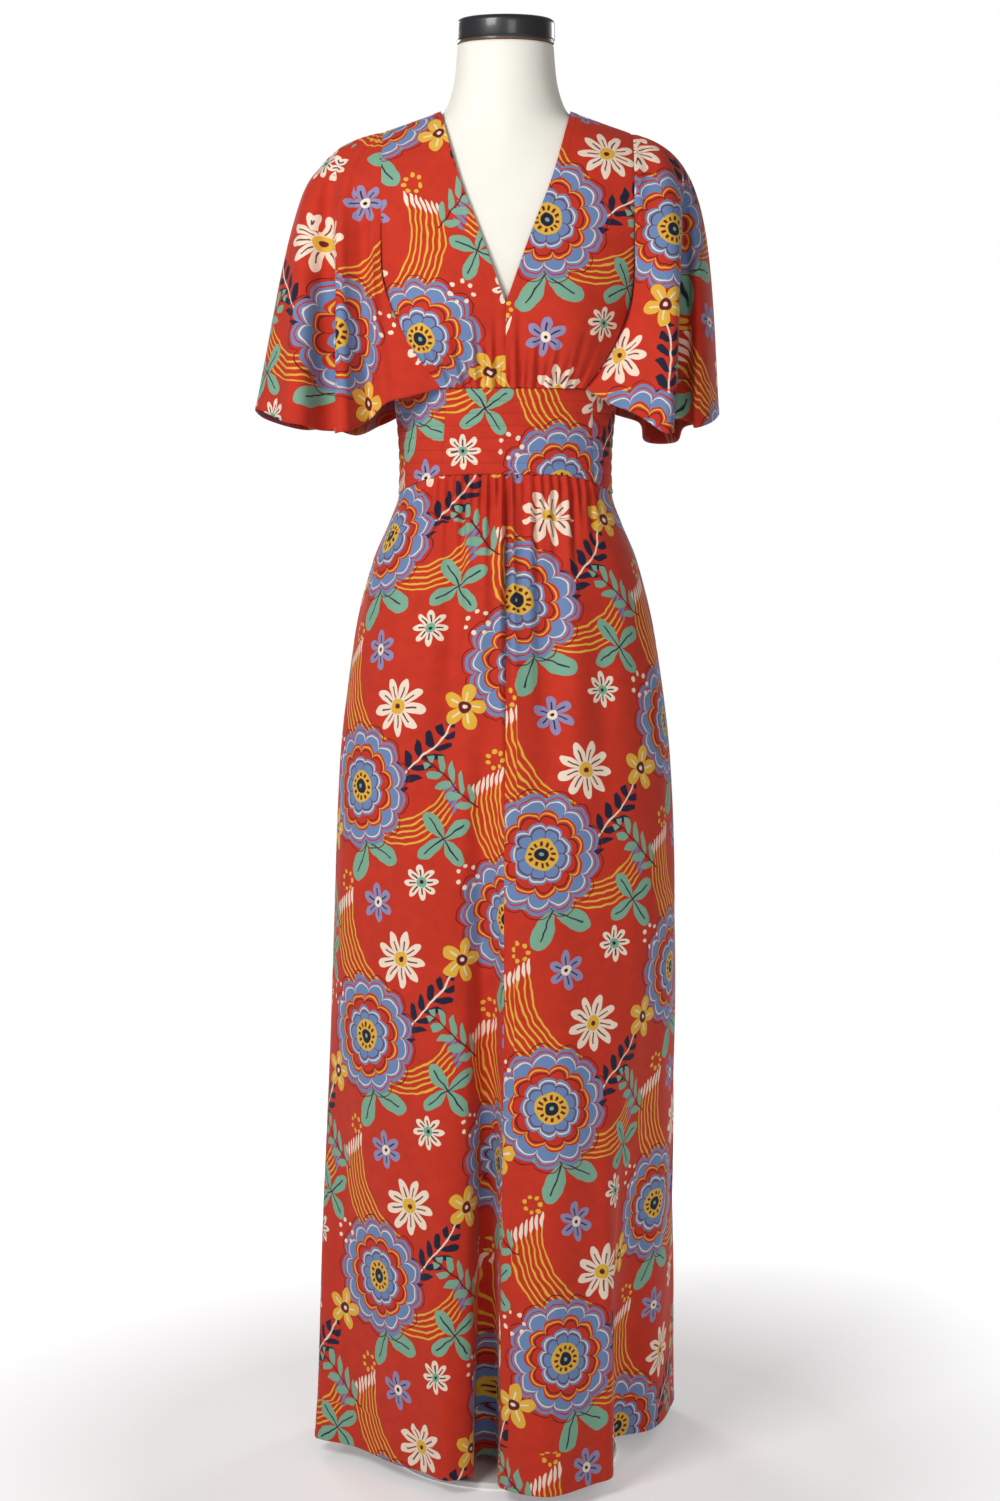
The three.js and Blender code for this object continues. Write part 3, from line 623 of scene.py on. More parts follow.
@dataclass
class Bodice:
    """The V-neck fronts, the back and the panels under the arms."""

    core: Vector = Vector((0, 0, 1300))
    side_core: Vector = Vector((0, 0, 1250))
    columns: int = 84
    rows: int = 120
    side_columns: int = 30
    side_rows: int = 44
    edge_lift: float = 0.5
    edge_width: float = 9.0
    clearance: float = 2.0

    def front(self, hole: Armhole) -> Surface:
        """The surface of a front panel, from the neckline to the armhole and from the shoulder down."""

        def surface(u: np.ndarray, v: np.ndarray) -> np.ndarray:
            top = FIGURE.ridge(mix(NECK_POINT, hole.edge, u))
            z = mix(BAND_TOP, top, hole.climb(v))
            neck = np.maximum(FIGURE.neckline.read("half", z) - 0.2, 0)
            x = mix(neck, hole.x(z, hole.foot), u)
            y = np.minimum(FIGURE.front_y(x, z), 0)
            return np.stack([hole.side * x, y, z], axis=-1)

        return surface

    def back(self) -> Surface:
        """The surface of the back panel, from armhole to armhole and from the neck and shoulders down."""

        def surface(u: np.ndarray, v: np.ndarray) -> np.ndarray:
            side = mix(-1.0, 1.0, u)
            share = np.abs(side)
            halves = []
            for hole in (LEFT, RIGHT):
                out = share * hole.edge
                drop = BACK_NECK_DROP * (1 - np.minimum(out / NECK_POINT, 1) ** 3)
                top = np.where(out < NECK_POINT, FIGURE.ridge(np.array(NECK_POINT)) - drop, FIGURE.ridge(out))
                z = mix(BAND_TOP, top, hole.climb(v))
                x = share * hole.x(z, hole.back_foot)
                y = np.maximum(FIGURE.back_y(x, z), 0)
                halves.append(np.stack([hole.side * x, y, z], axis=-1))
            return np.where((side < 0)[..., None], *halves)

        return surface

    def side(self, hole: Armhole) -> Surface:
        """The surface of the panel under an arm, from the front armhole seam round to the back one."""

        def surface(u: np.ndarray, v: np.ndarray) -> np.ndarray:
            z = mix(BAND_TOP, UNDERARM - UNDERARM_DIP * np.sin(math.pi * u), v)
            half, front, back, power = FIGURE.bodice(z, UNDER_LAP)

            def turn(x: np.ndarray) -> np.ndarray:
                """The angle at which the section reaches a distance from the middle."""
                return np.arcsin(np.minimum(x / half, 1) ** (power / 2))

            angle = mix(turn(hole.x(z, hole.foot)), math.pi - turn(hole.x(z, hole.back_foot)), u)
            x, y = on_section(half, front, back, power, angle)
            fullness = FIGURE.bust(x, z) * np.sqrt(np.maximum(np.cos(angle), 0))
            return np.stack([hole.side * x, y - fullness, z], axis=-1)

        return surface

    def front_relief(self, u: np.ndarray, v: np.ndarray, points: np.ndarray) -> np.ndarray:
        """The turned-back neckline edge, and the dips at the centre and armhole seams."""
        x, z = np.abs(points[..., 0]), points[..., 2]
        from_neck = x - np.maximum(FIGURE.neckline.read("half", z) - 0.2, 0)
        faced = self.edge_lift * smooth((self.edge_width - from_neck) / 2)
        below = smooth((1270 - z) / 6)
        edge = x.max(axis=0, keepdims=True) - x
        return faced * (1 - below) + seam_dip(from_neck) * below + seam_dip(edge)

    def back_relief(self, u: np.ndarray, v: np.ndarray, points: np.ndarray) -> np.ndarray:
        """The dips at the armhole seams."""
        x = points[..., 0]
        return seam_dip(x - x.min(axis=0)) + seam_dip(x.max(axis=0) - x)

    def room(self, points: np.ndarray) -> np.ndarray:
        """How far the cloth may sink at each point before it nears the form."""
        return CLOTH_LIFT - self.clearance + FIGURE.sections.read("ease", points[..., 2])

    def build(self, finish: bpy.types.Material, inside: bpy.types.Material) -> None:
        """Makes the five panels."""
        columns, rows = even_steps(self.columns, 0.06), even_steps(self.rows, 0.07, (False, True))
        rests = ("form_torso",)
        for hole, creases, start, cut, area, side_cut, side_area in (
            (LEFT, LEFT_BODICE_CREASES, (0.055, 1.42), (0.128, 0.348), 0.033, (0.2, 0.165), 0.025),
            (RIGHT, RIGHT_BODICE_CREASES, (0.69, 0.9), (0.14, 0.348), 0.0355, (0.176, 0.16), 0.0216),
        ):
            name = "left" if hole.side < 0 else "right"
            Panel(
                f"bodice_front_{name}",
                self.front(hole),
                columns,
                rows,
                self.core,
                cut,
                area,
                "gathered",
                rests,
                creases,
                self.front_relief,
                room=self.room,
                print_from=start,
            ).build(finish, inside)
            Panel(
                f"bodice_side_{name}",
                self.side(hole),
                np.linspace(0, 1, self.side_columns + 1),
                np.linspace(0, 1, self.side_rows + 1),
                self.side_core,
                side_cut,
                side_area,
                "stretched",
                rests,
                print_from=(start[0] + 0.31, start[1]),
            ).build(finish, inside)
        Panel(
            "bodice_back",
            self.back(),
            even_steps(self.columns * 3 // 2, 0.04),
            rows,
            self.core,
            (0.32, 0.315),
            0.08,
            "gathered",
            rests,
            BACK_BODICE_CREASES,
            self.back_relief,
            room=self.room,
            print_from=(1.31, 0.27),
        ).build(finish, inside)


@dataclass(frozen=True)
class Fall:
    """A line down a sleeve: where it bends over the shoulder, seen from above, and its end at the hem."""

    at: str
    bend_x: float
    bend_y: float
    x: float
    y: float
    z: float


@dataclass
class Sleeves:
    """The two flutter sleeves, set into the armholes and open at the hem."""

    columns: int = 168
    rows: int = 96
    seam_pull: float = 3.0
    belly_seam: float = 1300.0
    belly_outside: float = 1350.0
    deepest: float = 0.2
    left: tuple[Fall, ...] = (
        Fall("front seam", -132, -74, -68, -86, 1183),
        Fall("lap over the band", -139, -76, -97, -89, 1175),
        Fall("front panel", -145, -75, -126, -92, 1167),
        Fall("front hollow", -154, -62, -143, -72, 1150),
        Fall("front crest", -181, -62, -168, -106, 1136),
        Fall("front trough", -194, -44, -190, -58, 1138),
        Fall("outer panel", -214, -38, -224, -62, 1144),
        Fall("outer corner", -229, -8, -268, -12, 1161),
        Fall("outer back", -227, 22, -262, 38, 1150),
        Fall("back panel", -208, 50, -222, 74, 1138),
        Fall("back trough", -196, 54, -194, 60, 1140),
        Fall("back crest", -176, 72, -165, 106, 1132),
        Fall("back hollow", -152, 72, -140, 78, 1142),
        Fall("back lap", -140, 78, -110, 96, 1158),
        Fall("back seam", -132, 78, -76, 84, 1183),
    )
    right: tuple[Fall, ...] = (
        Fall("front seam", 137, -74, 84, -82, 1183),
        Fall("lap over the band", 141, -77, 108, -90, 1168),
        Fall("front panel", 153, -74, 140, -104, 1153),
        Fall("front corner", 180, -70, 167, -118, 1135),
        Fall("turned face", 199, -50, 174, -60, 1150),
        Fall("deep trough", 196, -22, 182, -36, 1151),
        Fall("trumpet crest", 209, -16, 200, -70, 1141),
        Fall("trumpet side", 215, -4, 219, -46, 1147),
        Fall("outer edge", 220, 14, 231, 10, 1156),
        Fall("outer back", 213, 38, 222, 50, 1146),
        Fall("back trough", 202, 54, 198, 62, 1142),
        Fall("flap side", 186, 70, 189, 108, 1124),
        Fall("flap", 168, 76, 157, 114, 1125),
        Fall("back hollow", 154, 76, 148, 84, 1146),
        Fall("back lap", 144, 79, 116, 96, 1158),
        Fall("back seam", 137, 79, 80, 83, 1183),
    )

    def along_rows(self, places: np.ndarray, p: np.ndarray) -> np.ndarray:
        """Places between the fall lines, on a smooth curve through them."""
        last = len(places) - 1
        row = np.clip(np.floor(p).astype(int), 0, last - 1)
        around = [places[np.clip(row + k, 0, last)] for k in (-1, 0, 1, 2)]
        return between(*around, p - row)

    def fall(self, hole: Armhole, lines: tuple[Fall, ...], p: np.ndarray, v: np.ndarray) -> np.ndarray:
        """Points on the sleeve as it would hang free of its seams.

        Args:
            hole: the armhole it is set into.
            lines: its fall lines.
            p: places round it, in fall lines from the front seam.
            v: shares of the way from the shoulder to the hem.

        Returns:
            The points.
        """
        top = (hole.side * hole.edge, 0.0, float(FIGURE.ridge(np.array(hole.edge))))
        bend = self.along_rows(np.array([(f.bend_x, f.bend_y, 0) for f in lines], dtype=float), p)
        hem = self.along_rows(np.array([(f.x, f.y, f.z) for f in lines], dtype=float), p)
        belly = mix(self.belly_seam, self.belly_outside, np.sin(math.pi * p / (len(lines) - 1)))
        x = cubic(top[0], bend[..., 0], bend[..., 0], hem[..., 0], v)
        y = cubic(top[1], bend[..., 1], bend[..., 1], hem[..., 1], v)
        z = cubic(top[2], top[2] - SHOULDER_RUN, belly, hem[..., 2], v)
        return np.stack([x, y, z], axis=-1)

    def rested(self, points: np.ndarray) -> np.ndarray:
        """The points, with those that would lie inside the shoulder moved out to rest on it."""
        x, y, z = points[..., 0], points[..., 1], points[..., 2]
        half, _, back, power = FIGURE.bodice(z)
        depth = np.where(y < 0, -FIGURE.front_y(np.zeros_like(z), z), back)
        inside = (np.abs(x) / half) ** power + (np.abs(y) / depth) ** power
        push = np.maximum(np.maximum(inside, self.deepest) ** (-1 / power), 1)
        return np.stack([x * push, y * push, z], axis=-1)

    def surface(self, hole: Armhole, lines: tuple[Fall, ...]) -> Surface:
        """The sleeve's surface, from its front seam to its back one and from the shoulder to the hem."""
        last = len(lines) - 1

        def seam(v: np.ndarray, foot: float, face: Callable[..., np.ndarray]) -> np.ndarray:
            """Points on the armhole seam."""
            z = hole.height(v)
            x = hole.x(z, foot)
            return np.stack([hole.side * x, face(x, z), z], axis=-1)

        def surface(u: np.ndarray, v: np.ndarray) -> np.ndarray:
            p = u * last
            points = self.fall(hole, lines, p, v)
            for foot, face, line, away in (
                (hole.foot, FIGURE.front_y, 0, p),
                (hole.back_foot, FIGURE.back_y, last, last - p),
            ):
                free = self.fall(hole, lines, np.full_like(p, line), v)
                pull = np.maximum(1 - away / self.seam_pull, 0) ** 2
                points = points + (seam(v, foot, face) - free) * pull[..., None]
            on_seam = (p <= 0) | (p >= last)
            return np.where(on_seam[..., None], points, self.rested(points))

        return surface

    def relief(self, u: np.ndarray, v: np.ndarray, points: np.ndarray) -> np.ndarray:
        """The hem's turned-up edge and the dips at the armhole seam."""
        steps = np.linalg.norm(np.diff(points, axis=1), axis=-1)
        down = np.hstack([np.zeros((points.shape[0], 1)), np.cumsum(steps, axis=1)])
        from_hem = down[:, -1:] - down
        hem = HEM_LIFT * smooth((HEM_DEPTH - from_hem) / 1.5)
        front = np.linalg.norm(points - points[:1], axis=-1)
        back = np.linalg.norm(points - points[-1:], axis=-1)
        return hem + seam_dip(front) + seam_dip(back)

    def build(self, finish: bpy.types.Material, inside: bpy.types.Material) -> None:
        """Makes both sleeves."""
        for hole, lines, creases, start, turn, cut, area in (
            (LEFT, self.left, LEFT_SLEEVE_CREASES, (0.36, 0.72), 8.0, (0.502, 0.342), 0.106),
            (RIGHT, self.right, RIGHT_SLEEVE_CREASES, (1.12, 0.31), -14.0, (0.478, 0.342), 0.0985),
        ):
            Panel(
                "sleeve_left" if hole.side < 0 else "sleeve_right",
                self.surface(hole, lines),
                even_steps(self.columns, 0.06),
                even_steps(self.rows, 0.08),
                Vector((hole.side * hole.edge, 0, 1300)),
                cut,
                area,
                "draped",
                ("form_torso", "bodice_front_left" if hole.side < 0 else "bodice_front_right"),
                creases,
                self.relief,
                guess=Guess.FAN,
                print_from=start,
                print_turn=turn,
            ).build(finish, inside)


class Waist:
    """The smooth skirt's sections, and the midriff band that they hang from."""

    sections = Profile(
        "half front back",
        [
            (18, 205, 172, 188),
            (300, 196, 164, 176),
            (560, 189, 157, 165),
            (780, 180, 147, 153),
            (911, 164, 133, 140),
            (998, 143, 113, 119),
            (1041, 125, 96, 100),
            (1069, 115.5, 87, 88),
            (1092, 114, 86, 86),
        ],
    )

    def section(self, z: np.ndarray) -> tuple[np.ndarray, ...]:
        """The smooth skirt's half width, front depth and back depth at a height."""
        return tuple(self.sections.read(name, z) for name in self.sections.names)

    def foot(self, angle: np.ndarray) -> np.ndarray:
        """The height of the band's lower edge at an angle from the front."""
        level = np.where(np.cos(angle) > 0, BAND_FRONT_FOOT, BAND_BACK_FOOT)
        return mix(level, BAND_SIDE_FOOT, np.sin(angle) ** 4)

    def band(self, angle: np.ndarray, v: np.ndarray) -> np.ndarray:
        """Points of the band's face, from its lower edge to its upper one."""
        z = mix(self.foot(angle), BAND_TOP, v)
        skirt = self.section(z)
        bodice = FIGURE.bodice(z)[:3]
        t = np.clip((z - BAND_FRONT_FOOT) / (BAND_TOP - BAND_FRONT_FOOT), 0, 1)
        sizes = [mix(a, b, t) for a, b in zip(skirt, bodice)]
        x, y = on_section(*sizes, SKIRT_POWER, angle)
        return np.stack([x, y, z], axis=-1)

    def angle(self, x: float) -> float:
        """The angle at which the band reaches a distance from the middle."""
        return math.copysign(math.asin((abs(x) / BAND_HALF) ** (SKIRT_POWER / 2)), x)


WAIST = Waist()


@dataclass
class Midriff:
    """The two-layer band, with its rows of topstitching."""

    row_pitch: float = 13.0
    groove: float = 0.45
    groove_width: float = 1.1
    puff: float = 0.35
    rows: int = 84
    left_seam: Spot = (-71.0, -61.0)
    right_seam: Spot = (98.0, 90.0)
    core: Vector = Vector((0, 0, 1130))
    proud: float = 0.5

    def surface(self, start: Spot, end: Spot) -> Surface:
        """The band's face between two seams.

        Args:
            start: the first seam's angle at the band's lower and upper edge.
            end: the other seam's.

        Returns:
            The surface, from seam to seam and from the lower edge up.
        """

        def surface(u: np.ndarray, v: np.ndarray) -> np.ndarray:
            return WAIST.band(mix(mix(*start, v), mix(*end, v), u), v)

        return surface

    def relief(self, u: np.ndarray, v: np.ndarray, points: np.ndarray) -> np.ndarray:
        """The band standing proud, rows of topstitching pressed into it with the cloth puffed between, and
        the dips at its seams.
        """
        down = BAND_TOP - points[..., 2]
        row = down / self.row_pitch
        near = (row - np.round(row)) * self.row_pitch
        stitched = np.exp(-((near / self.groove_width) ** 2)) * (np.round(row) >= 1)
        puffed = np.cos(math.pi * near / self.row_pitch) ** 2
        ends = np.linalg.norm(points - points[:1], axis=-1), np.linalg.norm(points - points[-1:], axis=-1)
        dips = seam_dip(ends[0]) + seam_dip(ends[1])
        return self.proud + self.puff * (1 - puffed) - self.groove * stitched + dips

    def build(self, finish: bpy.types.Material, inside: bpy.types.Material) -> None:
        """Makes the four band panels."""
        quarter = math.pi / 2
        left = tuple(WAIST.angle(x) for x in self.left_seam)
        right = tuple(WAIST.angle(x) for x in self.right_seam)
        for name, start, end, columns, cut, print_from in (
            ("band_front", left, right, 110, (0.178, 0.098), (0.43, 1.16)),
            ("band_side_left", (-quarter,) * 2, left, 44, (0.112, 0.11), (1.02, 0.62)),
            ("band_side_right", right, (quarter,) * 2, 36, (0.078, 0.112), (0.17, 0.05)),
            ("band_back", (quarter,) * 2, (3 * quarter,) * 2, 130, (0.34, 0.11), (0.83, 0.44)),
        ):
            Panel(
                name,
                self.surface(start, end),
                even_steps(columns, 0.05),
                np.linspace(0, 1, self.rows + 1),
                self.core,
                cut,
                cut[0] * cut[1] * 0.9,
                "stretched",
                ("form_torso",),
                relief=self.relief,
                thickness=BAND_CLOTH,
                print_from=print_from,
            ).build(finish, inside)


@dataclass(frozen=True)
class Fold:
    """A crest or trough of the skirt: its place at the hem, its angle above and where it begins."""

    at: str
    x: float
    y: float
    angle: float
    rise: float


@dataclass
class Skirt:
    """The gathered skirt: two front panels and a back."""

    folds: tuple[Fold, ...] = (
        Fold("left side crest", -213, -7, -90, 760),
        Fold("left side hollow", -168, -38, -70, 700),
        Fold("left front panel", -118, -97, -48, 760),
        Fold("left front hollow", -90, -118, -35, 800),
        Fold("left front crest", -64, -146, -24, 900),
        Fold("notch lip", -36, -132, -13, 980),
        Fold("notch foot", -21, -76, -6, 1000),
        Fold("centre seam", -9, -163, 0, 980),
        Fold("right panel crown", 43, -195, 14, 900),
        Fold("right panel side", 80, -170, 25, 820),
        Fold("right fold edge", 110, -130, 36, 640),
        Fold("recess inner wall", 103, -64, 45, 600),
        Fold("recess foot", 119, -12, 55, 620),
        Fold("right hollow", 164, 17, 70, 640),
        Fold("right side crest", 190, 92, 94, 700),
        Fold("right back corner", 194, 146, 112, 760),
        Fold("back right crest", 150, 182, 127, 820),
        Fold("back right trough", 112, 140, 141, 860),
        Fold("back inner crest", 62, 192, 156, 900),
        Fold("back middle trough", 18, 158, 171, 940),
        Fold("back middle crest", -30, 194, 186, 900),
        Fold("back left trough", -80, 150, 201, 880),
        Fold("back left crest", -124, 184, 215, 840),
        Fold("left back trough", -158, 126, 229, 780),
        Fold("left back crest", -204, 98, 245, 740),
        Fold("left back hollow", -192, 44, 258, 700),
    )
    left_seam: int = 0
    centre_seam: int = 7
    right_seam: int = 14
    rows: int = 232
    core: Vector = Vector((0, 0, 500))
    clearance: float = 2.0

    def rings(self, v: np.ndarray) -> np.ndarray:
        """The folds' places at shares of the way up the skirt, shares by folds by 3."""
        angle = np.radians([f.angle for f in self.folds])
        ends = np.array([(f.x, f.y) for f in self.folds], dtype=float)
        rise = np.array([f.rise for f in self.folds], dtype=float)
        z = mix(HEM_HEIGHT, WAIST.foot(angle), v[:, None])
        here = np.stack(on_section(*WAIST.section(z), SKIRT_POWER, angle), axis=-1)
        hem = np.stack(on_section(*WAIST.section(np.full_like(z, HEM_HEIGHT)), SKIRT_POWER, angle), axis=-1)
        grown = np.maximum((rise - z) / (rise - HEM_HEIGHT), 0) ** FOLD_START
        return np.concatenate([here + (ends - hem) * grown[..., None], z[..., None]], axis=-1)

    def surface(self, start: int, end: int) -> Surface:
        """The skirt's face between two of its seams, given as rows of the folds' table."""
        count = len(self.folds)
        angles = np.radians([f.angle for f in self.folds])

        def surface(u: np.ndarray, v: np.ndarray) -> np.ndarray:
            p = mix(start, end, u[:, 0])
            rings = self.rings(v[0])
            row = np.floor(p).astype(int)
            share = np.broadcast_to(p - row, (len(v[0]), len(p)))
            around = [rings[:, (row + k) % count] for k in (-1, 0, 1, 2)]
            points = between(*around, share).transpose(1, 0, 2)
            low = angles[row % count] + 2 * math.pi * (row // count)
            high = angles[(row + 1) % count] + 2 * math.pi * ((row + 1) // count)
            foot = WAIST.foot(mix(low, high, p - row))
            points[..., 2] = mix(HEM_HEIGHT, foot[:, None], v)
            return points

        return surface

    def room(self, points: np.ndarray) -> np.ndarray:
        """How far the cloth may sink at each point before it nears the form."""
        z = points[..., 2]
        apart = [WAIST.sections.read(side, z) - FIGURE.sections.read(side, z) for side in ("front", "back")]
        return np.maximum(np.where(points[..., 1] < 0, *apart) - self.clearance, 1.5)

    def relief(self, u: np.ndarray, v: np.ndarray, points: np.ndarray) -> np.ndarray:
        """The hem's turned-up edge, the seams' dips and the slow unevenness of hanging cloth."""
        x, y, z = points[..., 0], points[..., 1], points[..., 2]
        hem = HEM_LIFT * smooth((HEM_DEPTH - (z - HEM_HEIGHT)) / 1.5)
        start = np.linalg.norm(points - points[:1], axis=-1)
        end = np.linalg.norm(points - points[-1:], axis=-1)
        around = np.arctan2(x, -y)
        uneven = 0.7 * np.sin(9 * around + z / 95) + 0.5 * np.sin(17 * around - z / 60 + 1.3)
        held = smooth((z - HEM_HEIGHT) / 60) * smooth((1060 - z) / 120)
        return hem + seam_dip(start) + seam_dip(end) + uneven * held

    def build(self, finish: bpy.types.Material, inside: bpy.types.Material) -> None:
        """Makes the three panels."""
        rows = even_steps(self.rows, 0.045)
        around = self.right_seam, len(self.folds) + self.left_seam
        for name, start, end, columns, creases, cut, area, print_from in (
            ("skirt_front_left", self.left_seam, self.centre_seam, 104, FRONT_SKIRT_CREASES,
             (0.385, 1.09), 0.315, (-0.02, 0.0)),
            ("skirt_front_right", self.centre_seam, self.right_seam, 104, FRONT_SKIRT_CREASES,
             (0.415, 1.09), 0.335, (0.56, 0.2)),
            ("skirt_back", *around, 190, BACK_SKIRT_CREASES, (0.7, 1.08), 0.6, (1.3, 0.21)),
        ):
            Panel(
                name,
                self.surface(start, end),
                even_steps(columns, 0.04),
                rows,
                self.core,
                cut,
                area,
                "gathered",
                ("band_front", "form_torso") if "front" in name else ("band_back", "form_torso"),
                creases,
                self.relief,
                room=self.room,
                print_from=print_from,
            ).build(finish, inside)


# Gathers and creases, each with its root on a seam. The front ones are placed one by one, as uneven as cloth
# pulled up on a thread; the hidden back has similar ones.
FRONT_SKIRT_CREASES = (
    Crease((-86, 1086), (-92, 1046), (2.4, 3.0), -3.0),
    Crease((-78, 1087), (-83, 1032), (2.4, 3.5), -4.4),
    Crease((-68, 1089), (-74, 1000), (2.6, 4.3), -6.0),
    Crease((-59.5, 1091), (-65, 960), (2.6, 4.8), -8.0),
    Crease((-52, 1091), (-55, 1036), (2.2, 3.5), -5.4),
    Crease((-43.5, 1091), (-52, 900), (2.8, 6.2), -10.0),
    Crease((-33, 1091), (-35, 1048), (2.2, 3.0), -4.6),
    Crease((-25, 1091), (-26, 1010), (2.4, 3.9), -6.0),
    Crease((-16, 1091), (-18, 950), (2.4, 4.8), -7.4),
    Crease((-7.5, 1091), (-7, 1044), (2.2, 3.0), -4.6),
    Crease((0.8, 1091), (0, 640), (2.8, 3.9), -11.0, 0.6, 0.06),
    Crease((10.5, 1091), (12, 1046), (2.2, 3.0), -4.0),
    Crease((19, 1091), (22, 985), (2.4, 4.3), -7.2),
    Crease((30.5, 1091), (38, 780), (2.8, 6.2), -10.5, 0.5, 0.06),
    Crease((40, 1091), (43, 1040), (2.2, 3.5), -4.8),
    Crease((49, 1091), (54, 985), (2.4, 4.3), -7.0),
    Crease((57.5, 1091), (62, 1036), (2.2, 3.5), -5.2),
    Crease((68, 1090), (77, 960), (2.6, 5.2), -8.0),
    Crease((77, 1089), (84, 1036), (2.4, 3.5), -4.6),
    Crease((86.5, 1087), (96, 1000), (2.6, 4.8), -6.0),
    Crease((94, 1085), (103, 1040), (2.4, 3.5), -3.4),
    Crease((-82, 1087), (-88, 1036), (2.6, 3.5), 2.4),
    Crease((-73, 1088), (-79, 1010), (3.4, 4.3), 3.6),
    Crease((-64, 1090), (-70, 980), (3.2, 4.8), 4.6),
    Crease((-55.7, 1091), (-60, 1000), (2.8, 4.3), 4.2),
    Crease((-48, 1091), (-53, 940), (3.2, 5.2), 5.6),
    Crease((-38, 1091), (-43, 900), (4.2, 6.6), 6.4),
    Crease((-29, 1091), (-31, 985), (3.0, 4.3), 4.4),
    Crease((-20.5, 1091), (-22, 900), (3.6, 5.7), 6.0),
    Crease((-12, 1091), (-12, 985), (3.0, 4.3), 4.6),
    Crease((-4, 1091), (-6, 820), (3.0, 5.2), 6.6),
    Crease((5.6, 1091), (13, 740), (3.6, 6.2), 8.0, 0.6, 0.1),
    Crease((14.8, 1091), (17, 985), (3.0, 4.3), 4.4),
    Crease((25, 1091), (30, 860), (4.0, 6.2), 7.0),
    Crease((35, 1091), (40, 960), (3.2, 5.2), 4.8),
    Crease((44.6, 1091), (49, 940), (3.4, 5.2), 5.0),
    Crease((53.4, 1091), (58, 1000), (3.0, 4.3), 3.8),
    Crease((63, 1091), (70, 920), (4.0, 6.2), 6.0),
    Crease((72.6, 1090), (81, 990), (3.2, 4.8), 4.4),
    Crease((82, 1088), (90, 960), (3.4, 5.2), 4.4),
    Crease((90.5, 1086), (100, 1020), (2.8, 3.9), 2.8),
    Crease((-56, 1050), (-64, 520), (12, 18), -13.0, 0.0, 0.2),
    Crease((-27, 1040), (-29, 600), (13, 18), 7.0, 0.0, 0.3),
    Crease((45, 1050), (52, 560), (13, 20), -13.0, 0.0, 0.2),
    Crease((66, 1000), (76, 560), (14, 24), 5.6, 0.0, 0.35),
    Crease((-92, 1000), (-118, 480), (12, 24), 6.0, 0.0, 0.4),
    Crease((-112, 860), (-150, 420), (12, 22), -6.5, 0.0, 0.4),
    Crease((100, 960), (122, 520), (11, 24), -7.0, 0.0, 0.35),
    Crease((60, 640), (66, 200), (14, 20), 3.0, 0.0, 0.45),
    Crease((24, 520), (20, 60), (12, 18), -2.6, 0.0, 0.5),
    Crease((-96, 420), (-104, 60), (12, 16), 3.0, 0.0, 0.5),
    Crease((-134, 340), (-144, 40), (10, 14), -3.0, 0.0, 0.5),
    Crease((-21, 30), (-6, 940), (9, 6), -12.0, 1.0, 0.3),
    Crease((108, 30), (104, 560), (8, 6), 6.0, 1.0, 0.3),
)
BACK_SKIRT_CREASES = (
    *gathers(31, (-96, 96), 15, 1080, (-40, -190), (1.8, 3.4), True),
    *gathers(47, (-92, 92), 13, 1080, (-30, -120), (-3.0, -1.6), True),
)
LEFT_BODICE_CREASES = (
    Crease((-4, 1183), (-4, 1230), (2.0, 3.0), -4.0),
    Crease((-10.5, 1183), (-10, 1272), (2.4, 3.9), -7.0),
    Crease((-19, 1183), (-20, 1244), (2.2, 3.5), -5.6),
    Crease((-26.5, 1183), (-33, 1276), (2.6, 4.8), -7.6),
    Crease((-34, 1183), (-43, 1226), (2.2, 3.5), -4.4),
    Crease((-41.5, 1183), (-60, 1250), (2.6, 4.8), -7.0),
    Crease((-50, 1183), (-74, 1240), (2.4, 4.3), -5.4),
    Crease((-57, 1183), (-92, 1266), (2.6, 5.2), -7.4),
    Crease((-64, 1184), (-100, 1238), (2.4, 4.3), -4.4),
    Crease((-15, 1183), (-15, 1262), (3.4, 4.3), 3.2),
    Crease((-30.5, 1183), (-38, 1262), (3.4, 4.8), 3.0),
    Crease((-46, 1183), (-67, 1256), (3.6, 5.2), 3.4),
    Crease((-60.5, 1183), (-96, 1258), (3.2, 5.2), 3.0),
)
RIGHT_BODICE_CREASES = (
    Crease((5, 1183), (5, 1240), (2.2, 3.5), -5.0),
    Crease((14, 1183), (15, 1288), (2.6, 4.8), -8.6),
    Crease((22.5, 1183), (25, 1236), (2.2, 3.5), -4.8),
    Crease((31, 1183), (38, 1262), (2.6, 4.3), -7.0),
    Crease((40, 1183), (50, 1232), (2.2, 3.9), -4.6),
    Crease((48, 1183), (62, 1248), (2.6, 4.8), -6.4),
    Crease((57, 1183), (76, 1234), (2.4, 3.9), -5.0),
    Crease((65.5, 1183), (90, 1258), (2.6, 5.2), -7.0),
    Crease((75, 1183), (102, 1238), (2.4, 4.3), -5.0),
    Crease((9.5, 1183), (9, 1270), (3.4, 4.3), 3.6),
    Crease((27, 1183), (31, 1256), (3.6, 4.8), 3.2),
    Crease((44, 1183), (56, 1250), (3.6, 5.2), 3.0),
    Crease((61, 1183), (83, 1252), (3.8, 5.7), 3.4),
    Crease((80, 1184), (106, 1240), (3.0, 4.8), 2.6),
)
BACK_BODICE_CREASES = (
    *gathers(12, (-64, 68), 9, 1183, (30, 95), (1.4, 2.6), True),
    *gathers(19, (-60, 64), 8, 1183, (25, 70), (-2.2, -1.2), True),
)
